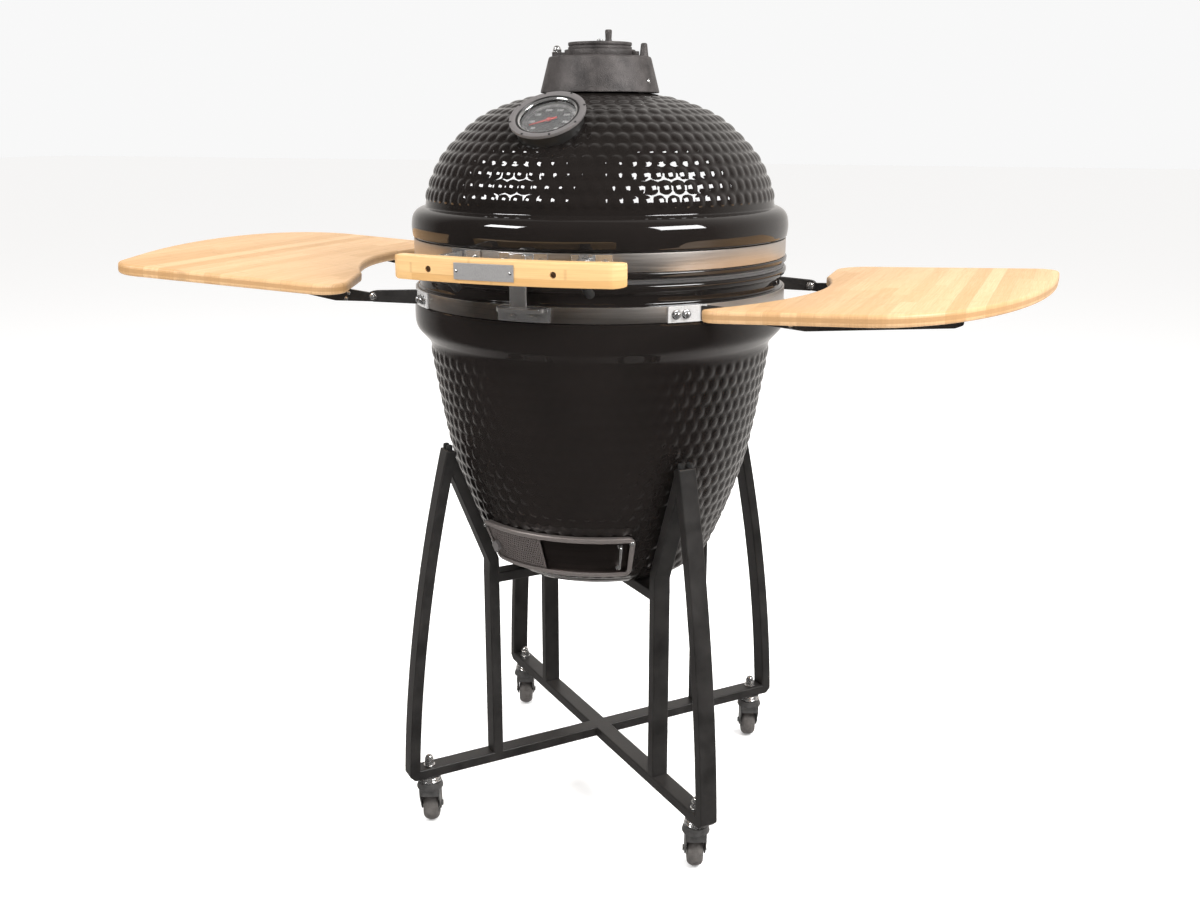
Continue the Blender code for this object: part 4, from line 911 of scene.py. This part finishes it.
def number(text, size, at):
    """Flat numerals, a tenth of a millimetre thick."""
    curve_data = bpy.data.curves.new("number", "FONT")
    curve_data.body, curve_data.size = text, size
    curve_data.align_x, curve_data.align_y = "CENTER", "CENTER"
    curve_data.extrude, curve_data.offset = 0.00005, 0.00008
    held = bpy.data.objects.new("number", curve_data)
    bpy.context.scene.collection.objects.link(held)
    shape = bmesh.new()
    shape.from_mesh(held.to_mesh())
    held.to_mesh_clear()
    bpy.data.objects.remove(held)
    bpy.data.curves.remove(curve_data)
    return moved(shape, to=(*at, 0.00005))


# Top vent

CAP_R0, CAP_R1, CAP_Z0, CAP_Z1 = 0.0834, 0.0712, 1.0695, 1.1180
SLIDE_R, SLIDE_T, WHEEL_R, WHEEL_T, POST = 0.0495, 0.0085, 0.0445, 0.0095, 0.065


def petals(turn=0.0):
    half = 16
    return [wall_sheet(0.0120, 0.0350, 1.10, 1.16, turn + 72 * k - half, turn + 72 * k + half, 8)
            for k in range(5)]


def top_vent():
    wall = 0.0065
    cone = [(0.0500, 1.0450), (FLUE_R - 0.001, 1.0450), (FLUE_R - 0.001, CAP_Z0 - 0.001), (0.0790, CAP_Z0),
            (CAP_R0, CAP_Z0), (CAP_R0, CAP_Z0 + 0.0020), (CAP_R1 + 0.0006, CAP_Z1 - 0.0020),
            (CAP_R1 - 0.0010, CAP_Z1), (0.0400, CAP_Z1), (0.0400, CAP_Z1 - wall),
            (CAP_R1 - wall - 0.002, CAP_Z1 - wall), (0.0640, 1.0800), (0.0500, 1.0720)]
    body = turned(rounded(cone, 0.0014, 2), 128)
    boss = turned(rounded([(0, -0.002), (0.0066, -0.002), (0.0060, 0.001), (0.0043, 0.0160),
                           (0.0030, 0.0172), (0, 0.0172)], 0.0010, 3, keep=(0, 5)), 32, to=(POST, 0, CAP_Z1))
    stud = rod((-POST, 0, CAP_Z1 - 0.002), (-POST, 0, CAP_Z1 + 0.0098), 0.0028, 20)
    seat = rod((-POST, 0, CAP_Z1 - 0.002), (-POST, 0, CAP_Z1 + 0.0002), 0.0074, 32)
    piece("vent_cone", "lid", [([body, boss, seat, stud], "iron")], "vent_cap", bevel=0.0004)
    a, z = 78, CAP_Z0 + 0.0150
    r = CAP_R0 + (CAP_R1 - CAP_R0) * (z - CAP_Z0) / (CAP_Z1 - CAP_Z0)
    screw = [(0, -0.001), (0.0030, -0.001), (0.0030, 0.0006), (0.0021, 0.0012), (0.0016, 0.0004), (0, 0.0004)]
    piece("vent_set_screw", "lid", [(turned(screw, 24, facing(on_wall(1, a, 0.2)), on_wall(r, a, z)),
                                     "chrome")])

    low = CAP_Z1 + 2 * GAP
    high = low + SLIDE_T
    disc = turned(rounded([(0, low), (SLIDE_R, low), (SLIDE_R, high), (0, high)], 0.0008, 2, keep=(0, 3)), 96)
    lug = prism([*arc((-POST, 0), 0.0072, 90, 270, 16), (-0.0400, -0.0120), (-0.0400, 0.0120)], low,
                low + 0.0060)
    tab = block((0.0440, 0.0570), (-0.0052, 0.0042), (low, low + 0.0060), 0.0020, 3)
    plate = carved(disc, petals())
    lug = carved(lug, [rod((-POST, 0, 1.10), (-POST, 0, 1.14), 0.0031, 24)])
    hub = rod((0, 0, high - 0.001), (0, 0, high + WHEEL_T + 0.0012), 0.0040, 24)
    piece("vent_slider", "vent_slide", [([plate, lug, tab, hub], "iron")], "vent_slide_plate",
          bevel=0.0004)
    piece("vent_hub_nut", "vent_slide", [(acorn((0, 0, high + WHEEL_T + 0.0006), (0, 0, 1), 0.0095, 0.0034,
                                                0.0018), "zinc")])

    low = high + GAP
    high = low + WHEEL_T
    rim = [(0.0043, low), (WHEEL_R, low), (WHEEL_R, low + 0.0036), (WHEEL_R - 0.0014, low + 0.0042),
           (WHEEL_R - 0.0014, low + 0.0050), (WHEEL_R, low + 0.0056), (WHEEL_R, high), (0.0043, high)]
    wheel = carved(turned(rounded(rim, 0.0006, 2), 96), petals(36))
    knob = turned(rounded([(0, -0.001), (0.0046, -0.001), (0.0046, 0.0020), (0.0042, 0.0030),
                           (0.0048, 0.0140), (0.0040, 0.0155), (0, 0.0155)], 0.0008, 2, keep=(0, 6)), 32,
                  to=on_wall(0.0300, 44, high))
    piece("vent_wheel_disc", "vent_wheel", [([wheel, knob], "iron")], "daisy_wheel",
          bevel=0.0004)
    piece("vent_pivot_cap", "lid", [(acorn((-POST, 0, CAP_Z1 + 0.0067), (0, 0, 1), 0.0115, 0.0055, 0.0052),
                                     "chrome"), (turned([(0.0031, 0), (0.0062, 0), (0.0062, 0.0006),
                                                         (0.0031, 0.0006)], 32,
                                                        to=(-POST, 0, CAP_Z1 + 0.0067)), "dark")],
          "vent_pivot_nut", bevel=0.0002)


# Draft door

DRAFT_LOW, DRAFT_HIGH, DRAFT_HALF, DRAFT_SPLIT = 0.412, 0.477, 35.5, -4.0


def draft_point(angle, z, off):
    """On the sliding panels' conical surface, this far off the bowl."""
    low, high = 0.16455 + 0.0015, 0.19190 + 0.0015
    r = low + (high - low) * (z - DRAFT_LOW) / (DRAFT_HIGH - DRAFT_LOW)
    return on_wall(r + off, angle, z)


def draft_sheet(back, front, z0, z1, a0, a1, steps):
    rings = []
    for k in range(steps + 1):
        a = a0 + (a1 - a0) * k / steps
        rings.append([draft_point(a, z0, back), draft_point(a, z0, front), draft_point(a, z1, front),
                      draft_point(a, z1, back)])
    return loft(rings)


def draft_frame():
    """A channel bent to the bowl: its outline is a rounded rectangle over azimuth and height."""
    degree = radians(1) * 0.186
    half, low, high = DRAFT_HALF * degree, DRAFT_LOW, DRAFT_HIGH
    path = rounded([(-half, low), (half, low), (half, high), (-half, high)], 0.0120, 8)
    dense = spaced(path + path[:1], 0.0030)[:-1]
    section = [(0.0000, 0.0025), (0.0072, 0.0025), (0.0072, 0.0033), (0.0022, 0.0033), (0.0022, 0.0108),
               (0.0060, 0.0108), (0.0072, 0.0112), (0.0074, 0.0120), (0.0060, 0.0126), (0.0036, 0.0130),
               (0.0012, 0.0124), (0.0000, 0.0108)]
    rings, count = [], len(dense)
    for i, p in enumerate(dense):
        along = (Vector(dense[(i + 1) % count]) - Vector(dense[i - 1])).normalized()
        inward = Vector((-along.y, along.x))
        rings.append([draft_point((p[0] + inward.x * a) / degree, p[1] + inward.y * a, b - 0.0015)
                      for a, b in section])
    piece("draft_channel", "base", [(loft(rings, loop=True), "rim_steel")], "draft_frame",
          angle=45)
    studs = []
    edge = DRAFT_HALF - 1.5
    for a, z in ((-edge, high - 0.008), (-edge, low + 0.016), (edge, high - 0.008)):
        at = draft_point(a, z, 0.0102)
        studs += acorn(at, on_wall(1, a), 0.0066, 0.0024, 0.0020)
    piece("draft_studs", "base", [(studs, "chrome")], bevel=0.0002)


def draft_screen():
    """A perforated sheet: staggered round holes at a 4 mm pitch."""
    inset, off, hole = 0.0032, 0.0079, 0.00105
    z0, z1 = DRAFT_LOW + inset, DRAFT_HIGH - inset
    a0, a1 = -DRAFT_HALF + 1.8, DRAFT_SPLIT
    rows, columns = 15, 25
    shape = bmesh.new()
    cell_a, cell_z = (a1 - a0) / columns, (z1 - z0) / rows
    degree = radians(1) * 0.186
    made = {}

    def corner(a, z):
        key = (round(a, 4), round(z, 6))
        if key not in made:
            made[key] = shape.verts.new(draft_point(a, z, off))
        return made[key]

    for row in range(rows):
        shift = 0.5 * (row % 2)
        z = z0 + cell_z * row
        for k in range(-1, columns + 1):
            start, end = max(a0, a0 + cell_a * (k + shift)), min(a1, a0 + cell_a * (k + 1 + shift))
            if end - start < 0.01:
                continue
            middle = a0 + cell_a * (k + 0.5 + shift)
            stops = [start, *([middle] if start < middle < end else []), end]
            rim = [corner(a, z) for a in stops] + [corner(a, z + cell_z) for a in reversed(stops)]
            if end - start < cell_a * 0.9 or not 0 < row < rows - 1 or not 1 < k < columns - 1:
                shape.faces.new(rim)
                continue
            ring = [shape.verts.new(draft_point(middle + hole / degree * cos(t),
                                                z + cell_z / 2 + hole * sin(t), off))
                    for t in (2 * pi * (j + 0.5) / 12 - pi / 2 - pi / 4 for j in range(12))]
            for j in range(6):
                a, b = rim[j], rim[(j + 1) % 6]
                c, d, e = ring[2 * j], ring[(2 * j + 1) % 12], ring[(2 * j + 2) % 12]
                shape.faces.new((a, b, e, d, c))
    mesh_piece = piece("draft_mesh", "draft_screen_slide", [(shape, "mesh_steel")],
                       "draft_screen", angle=60)
    thick = mesh_piece.modifiers.new("Solidify", "SOLIDIFY")
    thick.thickness, thick.offset = 0.0012, 0

    a, z = -DRAFT_HALF + 5.5, DRAFT_LOW + 0.0270
    at = draft_point(a, z, 0.0084)
    turn = facing(on_wall(1, a))
    plan = rounded([(-0.0066, -0.0066), (0.0066, -0.0066), (0.0066, 0.0066), (-0.0066, 0.0066)], 0.0020, 3)
    stem = rod((0, 0, 0), (0, 0, 0.0030), 0.0036, 24)
    head = prism(plan, 0.0026, 0.0082)
    piece("draft_knob", "draft_screen_slide", [([moved(s, turn @ Matrix.Rotation(radians(12), 4, "Z"), at)
                                                 for s in (stem, head)], "alloy")],
          bevel=0.0009)


def draft_door():
    inset = 0.0032
    door = draft_sheet(0.0026, 0.0040, DRAFT_LOW + inset, DRAFT_HIGH - inset, DRAFT_SPLIT - 2.5,
                       DRAFT_HALF - 1.8, 40)
    a = DRAFT_HALF - 6.0
    low, high = DRAFT_LOW + 0.0140, DRAFT_HIGH - 0.0140
    line = curve([draft_point(a, z, out) for z, out in ((low, 0.0032), (low, 0.0080),
                                                        (low + 0.0012, 0.0126), (low + 0.0050, 0.0140),
                                                        ((low + high) / 2, 0.0143), (high - 0.0050, 0.0140),
                                                        (high - 0.0012, 0.0126), (high, 0.0080),
                                                        (high, 0.0032))], 5)
    feet = [turned([(0, 0), (0.0040, 0), (0.0040, 0.0005), (0.0028, 0.0010), (0, 0.0010)], 24,
                   facing(on_wall(1, a)), draft_point(a, z, 0.0040)) for z in (low, high)]
    piece("draft_slider", "draft_door_slide", [(door, "dark_steel")], "draft_door",
          bevel=0.0004)
    piece("draft_pull", "draft_door_slide", [([tube(line, 0.0019, 16), *feet], "chrome")])


# Side shelves

SHELF_T, SHELF_TOP, SHELF_OUT, SHELF_BAY, SHELF_HALF = 0.0155, 0.8115, 0.6263, 0.332, 0.260
SHELF_TILT = {"right": 1.7, "left": 5.5}
PIVOT_X, PIVOT_Z, ARM_Y, ARM_T = 0.2760, 0.7920, 0.170, 0.005
LEFT_TURN = radians(17.0)


def board_outline():
    """The right-hand board in plan: straight front, a sweep out to the rear corner, straight back."""
    w, start, corner, rear = SHELF_HALF, 0.4240, 0.0350, 0.1640
    sweep = [(start + (SHELF_OUT - start) * sin(t), -w + (rear + w) * (1 - cos(t)))
             for t in (pi / 2 * k / 40 for k in range(41))]
    back = arc((SHELF_OUT - corner, w - corner), corner, 0, 90, 14)
    inner = 0.3040
    heel = arc((inner + 0.0450, w - 0.0450), 0.0450, 90, 180, 14)
    bay = arc((0, 0), SHELF_BAY, degrees(atan2(0.1200, inner)), degrees(atan2(-(w - 0.020), 0.2294)), 44)
    toe = arc((0.2490, -w + 0.0220), 0.0220, 200, 270, 8)
    return [*sweep, *back, *heel, *bay[:-1], *toe]


def inset_outline(points, distance):
    result, count = [], len(points)
    for i, p in enumerate(points):
        along = (Vector(points[(i + 1) % count]) - Vector(points[i - 1])).normalized()
        result.append((p[0] - along.y * distance, p[1] + along.x * distance))
    return result


def shelf(name, side, spin):
    pivot = Vector((PIVOT_X, 0, PIVOT_Z))
    tilt = Matrix.Rotation(-radians(SHELF_TILT[name]), 4, "Y")
    place = spin @ Matrix.Translation(pivot) @ tilt @ Matrix.Translation(-pivot)
    body = f"shelf_{name}"
    outline, low, high, edge = board_outline(), SHELF_TOP - SHELF_T, SHELF_TOP, 0.0042
    if name == "left":
        outline = [(PIVOT_X + 0.0640 + (x - PIVOT_X) * cos(LEFT_TURN) - y * sin(LEFT_TURN),
                    -0.0160 + (x - PIVOT_X) * sin(LEFT_TURN) + y * cos(LEFT_TURN)) for x, y in outline]
    rings = []
    for t in range(0, 91, 15):
        inset, drop = edge * (1 - sin(radians(t))), edge * (1 - cos(radians(t)))
        rings.append([(x, y, low + drop) for x, y in inset_outline(outline, inset)])
    rings += [[(x, y, low + high - z) for x, y, z in ring] for ring in reversed(rings)]
    piece(f"shelf_top_{name}", body, [(loft(rings), "board")], f"shelf_board_{name}", angle=28,
          place=place)

    for end, y in (("front", -ARM_Y * side), ("rear", ARM_Y * side)):
        top = low - GAP
        plan = [(PIVOT_X, PIVOT_Z - 0.0078), (0.3400, 0.7762), (0.5200, 0.7852), (0.5300, 0.7892),
                (0.5300, top), (0.2838, top), *arc((PIVOT_X, PIVOT_Z), 0.0078, 60, 260, 14)]
        bar = carved(prism(rounded(plan, 0.0018, 2), y - ARM_T / 2, y + ARM_T / 2, "Y"),
                     [rod((PIVOT_X, y - 0.02, PIVOT_Z), (PIVOT_X, y + 0.02, PIVOT_Z), 0.0033, 24)])
        tabs = [block((x - 0.014, x + 0.014), (y - ARM_T / 2 + 0.001, y + 0.0160), (top - 0.0025, top),
                      0.0030) for x in (0.4100, 0.4950)]
        rivets = []
        for x, z in ((0.3180, 0.7905), (0.3215, 0.7815)):
            for s in (-1, 1):
                dome = [(0, 0), (0.0031, 0), *[(0.0031 * cos(radians(t)), 0.0016 * sin(radians(t)))
                                               for t in (20, 45, 70)], (0, 0.0016)]
                rivets.append(turned(dome, 24, facing((0, s, 0)), (x, y + s * ARM_T / 2, z)))
        screws = [turned([(0, 0), (0.0034, 0), (0.0030, -0.0012), (0, -0.0014)], 20,
                         to=(x, y + 0.0095, top - 0.0025)) for x in (0.4040, 0.4160, 0.4890, 0.5010)]
        piece(f"shelf_bar_{name}_{end}", body, [([bar, *tabs], "coat")],
              f"shelf_arm_{name}_{end}", bevel=0.0005, place=place)
        piece(f"shelf_bar_trim_{name}_{end}", body, [([*rivets, *screws], "chrome")], place=place)
        shelf_mount(name, end, y, spin)


def shelf_mount(name, end, y, spin):
    """A clevis on a plate that is bolted to the base's band, with the pivot bolt through it."""
    a = degrees(atan2(sqrt(BAND_R ** 2 - y ** 2), -y))
    toward = -1 if y < 0 else 1
    foot = wall_sheet(BAND_R + GAP, BAND_R + 0.0030, BASE_BAND[0], BASE_BAND[1],
                      *sorted((a - toward * 1.5, a + toward * 10.5)), 12)
    cheeks, reach = [], sqrt((BAND_R + 0.001) ** 2 - y ** 2)
    for s in (-1, 1):
        low = y + s * 0.0042 - 0.0010
        plan = [(reach, 0.7850), (PIVOT_X, PIVOT_Z - 0.0078), *arc((PIVOT_X, PIVOT_Z), 0.0078, -60, 60, 12),
                (PIVOT_X, PIVOT_Z + 0.0078), (reach, 0.8040)]
        cheeks.append(prism(plan, low, low + 0.0020, "Y"))
    bolt = [rod((PIVOT_X, y - 0.0085, PIVOT_Z), (PIVOT_X, y + 0.0085, PIVOT_Z), 0.0030, 24)]
    bolt += acorn((PIVOT_X, y - 0.0052, PIVOT_Z), (0, -1, 0), 0.0088, 0.0034, 0.0012)
    bolt += acorn((PIVOT_X, y + 0.0052, PIVOT_Z), (0, 1, 0), 0.0088, 0.0034, 0.0012)
    nuts = []
    for s in (5.2, 8.2):
        angle = a + toward * s
        nuts += acorn(on_wall(BAND_R + 0.0030, angle, 0.7945), on_wall(1, angle), 0.0098, 0.0050, 0.0034)
    # The plate under each clevis takes the pale material whose colour is painted reflection.
    piece(f"shelf_clevis_{name}_{end}", "base", [([moved(foot, spin)], "plate_painted_reflection"),
                                                 ([moved(s, spin) for s in cheeks], "coat"),
                                                 ([moved(s, spin) for s in bolt], "chrome")],
          f"shelf_mount_{name}_{end}", bevel=0.0004)
    piece(f"shelf_clevis_nuts_{name}_{end}", "base", [([moved(s, spin) for s in nuts], "zinc")],
          bevel=0.0002)


# Cart

CART_YAW, TUBE_W, TUBE_T, BEAM_Z, POST_R, FOOT_Z = 4.0, 0.027, 0.016, 0.0810, 0.182, 0.388
SEAT_Z, LEG_FOOT_R, LEG_TOP = FOOT_Z - GAP, 0.3245, (0.2505, 0.583)
CORNERS = (("front_left", -45), ("front_right", 45), ("rear_left", -135), ("rear_right", 135))


def leg_plan():
    p0, p1, p2, p3 = map(Vector, ((LEG_FOOT_R, BEAM_Z + 0.008), (0.3180, 0.2400), (0.2945, 0.4050), LEG_TOP))
    outer = [(1 - t) ** 3 * p0 + 3 * (1 - t) ** 2 * t * p1 + 3 * (1 - t) * t * t * p2 + t ** 3 * p3
             for t in (k / 36 for k in range(37))]
    inner = []
    for i, p in enumerate(outer):
        along = (outer[min(i + 1, 36)] - outer[max(i - 1, 0)]).normalized()
        inner.append(p + Vector((-along.y, along.x)) * TUBE_T)
    return [(LEG_FOOT_R - 0.008, BEAM_Z), *map(tuple, outer), *map(tuple, reversed(inner)),
            (inner[0].x, BEAM_Z)]


def strut_plan():
    foot, notch = (POST_R + TUBE_T / 2 - 0.0007, 0.4051), (0.2385, 0.5316)
    along = (Vector(notch) - Vector(foot)).normalized()
    side = Vector((-along.y, along.x)) * TUBE_T
    return [foot, tuple(Vector(notch) + along * 0.020), tuple(Vector(notch) + side + along * 0.044),
            tuple(Vector(foot) + side), (POST_R - TUBE_T / 2, 0.4000), (POST_R - TUBE_T / 2, 0.3800),
            (POST_R + TUBE_T / 2, 0.3800)]


def cart():
    post = (POST_R - TUBE_T / 2, POST_R + TUBE_T / 2)
    half = TUBE_W / 2
    bevel = 0.0022
    for name, angle in CORNERS:
        turn = azimuth(angle + CART_YAW)

        def tube_of(plan, narrow=0.0):
            return moved(prism([(-r, z) for r, z in plan], -half + narrow, half - narrow, "X"), turn)

        piece(f"cart_leg_{name}", "base", [(tube_of(leg_plan()), "coat")], bevel=bevel)
        piece(f"cart_strut_{name}", "base", [(tube_of(strut_plan(), 0.0002), "coat")],
              bevel=bevel)
        upright = [(post[0], BEAM_Z + 0.002), (post[1], BEAM_Z + 0.002), (post[1], 0.3900), (post[0], 0.3900)]
        piece(f"cart_post_{name}", "base", [(tube_of(upright, 0.0004), "coat")], bevel=bevel)
        pads = [moved(turned([(0, 0), (0.0044, 0), (0.0044, 0.0062), (0.0034, 0.0072), (0, 0.0076)], 24,
                             to=(x, -0.2440, 0.5820)), turn) for x in (-0.0065, 0.0065)]
        piece(f"cart_pads_{name}", "base", [(pads, "black_rubber")])
    for name, low, reach in (("floor", BEAM_Z, LEG_FOOT_R - 0.012),
                             ("seat", SEAT_Z - TUBE_T, post[1] - 0.002)):
        beams = []
        for angle, trim in ((45, 0.0), (-45, 0.00015)):
            plan = [(-reach, low + trim), (reach, low + trim), (reach, low + TUBE_T - trim),
                    (-reach, low + TUBE_T - trim)]
            beams.append(moved(prism(plan, -half + trim, half - trim, "X"), azimuth(angle + CART_YAW)))
        piece(f"cart_{name}_cross", "base", [(beams, "coat")],
              ("cart_frame_left", "cart_frame_right") if name == "floor" else (), bevel=bevel)


# Casters

STEM_R, TYRE_R, TYRE_W, TRAIL, ROLL_AZ = 0.290, 0.025, 0.023, 0.014, 201.0


def casters():
    for name, angle in CORNERS:
        stem = on_wall(STEM_R, angle + CART_YAW)
        axle = stem + on_wall(TRAIL, ROLL_AZ) + Vector((0, 0, TYRE_R))
        roll = azimuth(ROLL_AZ - 180)
        top = BEAM_Z + TUBE_T
        shaft = rod((0, 0, 0.0600), (0, 0, top + 0.012), 0.0048, 24)
        race = [(0, 0.0720), (0.0160, 0.0720), (0.0175, 0.0735), (0.0170, 0.0750), (0.0150, 0.0762),
                (0.0165, 0.0778), (0.0160, 0.0794), (0.0140, BEAM_Z - GAP), (0, BEAM_Z - GAP)]
        keeper = turned([(0, 0.0575), (0.0092, 0.0575), (0.0100, 0.0585), (0.0100, 0.0610), (0, 0.0610)], 32)
        shapes = [shaft, turned(rounded(race, 0.0006, 2, keep=(0, 8)), 48), keeper,
                  *acorn((0, 0, top + GAP), (0, 0, 1), 0.0130, 0.0110, 0.0068)]
        piece(f"caster_bolt_{name}", "base", [([moved(s, to=stem) for s in shapes], "chrome")],
              f"caster_stem_{name}", bevel=0.0003)
        piece(f"caster_hood_{name}", f"caster_{name}", fork(stem, roll),
              f"caster_fork_{name}", bevel=0.0006)
        r, half = TYRE_R, TYRE_W / 2
        tyre = rounded([(0.0150, -half + 0.0010), (r - 0.0060, -half), (r - 0.0022, -half + 0.0028),
                        (r - 0.0003, -0.0040), (r, 0), (r - 0.0003, 0.0040), (r - 0.0022, half - 0.0028),
                        (r - 0.0060, half), (0.0150, half - 0.0010)], 0.0014, 3)
        hub = rounded([(0.0033, -half + 0.0003), (0.0080, -half + 0.0003), (0.0090, -half + 0.0030),
                       (0.0140, -half + 0.0036), (0.0150, -half + 0.0014), (0.0150, half - 0.0014),
                       (0.0140, half - 0.0036), (0.0090, half - 0.0030), (0.0080, half - 0.0003),
                       (0.0033, half - 0.0003)], 0.0005, 2)
        turn = roll @ facing((1, 0, 0))
        piece(f"caster_tyre_{name}", f"wheel_{name}", [(turned(tyre, 64, turn, axle), "rubber")],
              f"caster_wheel_{name}")
        piece(f"caster_hub_{name}", f"wheel_{name}", [(turned(hub, 48, turn, axle), "skirt")])


def fork(stem, roll):
    """A pressed hood over two cheeks, and the axle bolt through them."""
    half = TYRE_W / 2
    crown = turned(rounded([(0.0048, 0.0615), (0.0195, 0.0615), (0.0200, 0.0640), (0.0178, 0.0700),
                            (0.0172, 0.0716), (0.0048, 0.0716)], 0.0010, 2), 48)
    outer = rounded([(-half - 0.0035, -0.0160), (half + 0.0035, -0.0160), (half + 0.0035, 0.0185),
                     (-half - 0.0035, 0.0185)], 0.0060, 5)
    inner = inset_outline(outer, 0.0018)
    skirt = bmesh.new()
    lines = [[skirt.verts.new((x, y, z)) for x, y in line] for line, z in
             ((outer, 0.0512), (outer, 0.0640), (inner, 0.0640), (inner, 0.0512))]
    for a, b in zip(lines, lines[1:] + lines[:1]):
        for i in range(len(a)):
            j = (i + 1) % len(a)
            skirt.faces.new((a[i], a[j], b[j], b[i]))
    roof = prism(outer, 0.0618, 0.0640)
    cheeks = []
    for s in (-1, 1):
        x = s * (half + 0.0025)
        plan = rounded([(-0.0150, 0.0640), (-0.0140, 0.0500), (TRAIL - 0.0085, TYRE_R - 0.0060),
                        (TRAIL + 0.0085, TYRE_R - 0.0060), (0.0180, 0.0450), (0.0175, 0.0640)], 0.0050, 4)
        cheeks.append(prism(plan, x - 0.0010, x + 0.0010, "X"))
    bolt = [rod((-half - 0.0058, TRAIL, TYRE_R), (half + 0.0058, TRAIL, TYRE_R), 0.0030, 24)]
    for s in (-1, 1):
        bolt.append(moved(hexagon(0.0085, 0, 0.0024), facing((s, 0, 0)),
                          (s * (half + 0.0034), TRAIL, TYRE_R)))
    crown = carved(crown, [rod((0, 0, 0.055), (0, 0, 0.080), 0.0053, 24)])
    roof = carved(roof, [rod((0, 0, 0.055), (0, 0, 0.080), 0.0120, 24)])
    return [([moved(s, roll, stem) for s in (crown, skirt, roof, *cheeks)], "skirt"),
            ([moved(s, roll, stem) for s in bolt], "zinc")]


def carried_over():
    """The charcoal grate keeps its CAD solid."""
    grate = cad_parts["charcoal_grate"]
    grate.data.materials.clear()
    grate.data.materials.append(M["grate"])
    step = grate.modifiers.new("Bevel", "BEVEL")
    step.width, step.segments, step.limit_method = 0.0006, 2, "ANGLE"


# Stage

def soft_box(name, angle, lift, distance, size, power, target=(0, 0, 0.75), glossy=True, color=(1, 1, 1)):
    lamp = bpy.data.lights.new(name, "AREA")
    lamp.shape, lamp.size, lamp.size_y = "RECTANGLE", *size
    lamp.energy, lamp.color = power, color
    made = bpy.data.objects.new(name, lamp)
    flat = on_wall(distance * cos(radians(lift)), angle, distance * sin(radians(lift)))
    made.location = Vector(target) + flat
    made.rotation_euler = (-flat).to_track_quat("-Z", "Y").to_euler()
    made.visible_glossy = glossy
    bpy.context.scene.collection.objects.link(made)


def stage():
    shape = bmesh.new()
    bmesh.ops.create_grid(shape, x_segments=1, y_segments=1, size=30)
    mesh = bpy.data.meshes.new("floor")
    shape.to_mesh(mesh)
    shape.free()
    floor = bpy.data.objects.new("floor", mesh)
    bpy.context.scene.collection.objects.link(floor)
    paper = Look("studio_floor", (0.94, 0.94, 0.94), 0.9, specular_ior_level=0.0, emission_strength=0.17)
    mesh.materials.append(paper.material)
    floor.visible_glossy = False

    world = bpy.data.worlds.new("studio")
    bpy.context.scene.world = world
    world.use_nodes = True
    tree = world.node_tree
    tree.nodes.clear()
    out = tree.nodes.new("ShaderNodeOutputWorld")
    seen, lit, room = (tree.nodes.new("ShaderNodeBackground") for _ in range(3))
    path = tree.nodes.new("ShaderNodeLightPath")
    seen.inputs[0].default_value, seen.inputs[1].default_value = (1, 1, 1, 1), 0.94
    lit.inputs[0].default_value, lit.inputs[1].default_value = (1, 0.99, 0.98, 1), 0.80
    at, split, ramp = (tree.nodes.new(f"ShaderNode{kind}")
                       for kind in ("TexCoord", "SeparateXYZ", "ValToRGB"))
    tree.links.new(at.outputs["Generated"], split.inputs[0])
    tree.links.new(split.outputs[1], ramp.inputs[0])
    ramp.color_ramp.elements[0].position, ramp.color_ramp.elements[0].color = 0.0, (0.030, 0.027, 0.025, 1)
    ramp.color_ramp.elements[1].position, ramp.color_ramp.elements[1].color = 0.75, (0.75, 0.72, 0.69, 1)
    tree.links.new(ramp.outputs[0], room.inputs[0])
    glossy, final = tree.nodes.new("ShaderNodeMixShader"), tree.nodes.new("ShaderNodeMixShader")
    tree.links.new(path.outputs["Is Glossy Ray"], glossy.inputs[0])
    tree.links.new(lit.outputs[0], glossy.inputs[1])
    tree.links.new(room.outputs[0], glossy.inputs[2])
    tree.links.new(path.outputs["Is Camera Ray"], final.inputs[0])
    tree.links.new(glossy.outputs[0], final.inputs[1])
    tree.links.new(seen.outputs[0], final.inputs[2])
    tree.links.new(final.outputs[0], out.inputs[0])

    soft_box("soft_box_right", 70, 33, 2.3, (1.10, 0.85), 60)
    soft_box("soft_box_left", -40, 34, 2.6, (0.95, 0.55), 40)
    soft_box("soft_box_back_left", -150, 30, 2.6, (0.9, 0.9), 30, glossy=False)
    soft_box("soft_box_back_right", 150, 30, 2.6, (0.9, 0.9), 30, glossy=False)
    soft_box("overhead", 0, 89, 2.4, (3.0, 3.0), 38, glossy=False)

    camera = bpy.data.cameras.new("camera")
    camera.lens, camera.sensor_width = 36.92, 36.0
    holder = bpy.data.objects.new("camera", camera)
    holder.location = (0.6507, -1.6804, 1.030)
    holder.rotation_euler = (Vector((0, 0, 0.550)) - holder.location).to_track_quat("-Z", "Y").to_euler()
    bpy.context.scene.collection.objects.link(holder)
    bpy.context.scene.camera = holder
    bpy.context.scene.view_settings.view_transform = "Standard"


shells()
bands()
inner_ceramics()
cooking_grid()
hinge()
handle()
closure()
gauge()
top_vent()
draft_frame()
draft_screen()
draft_door()
shelf("right", 1, Matrix.Identity(4))
shelf("left", -1, Matrix.Rotation(pi, 4, "Z"))
cart()
casters()
carried_over()
stage()
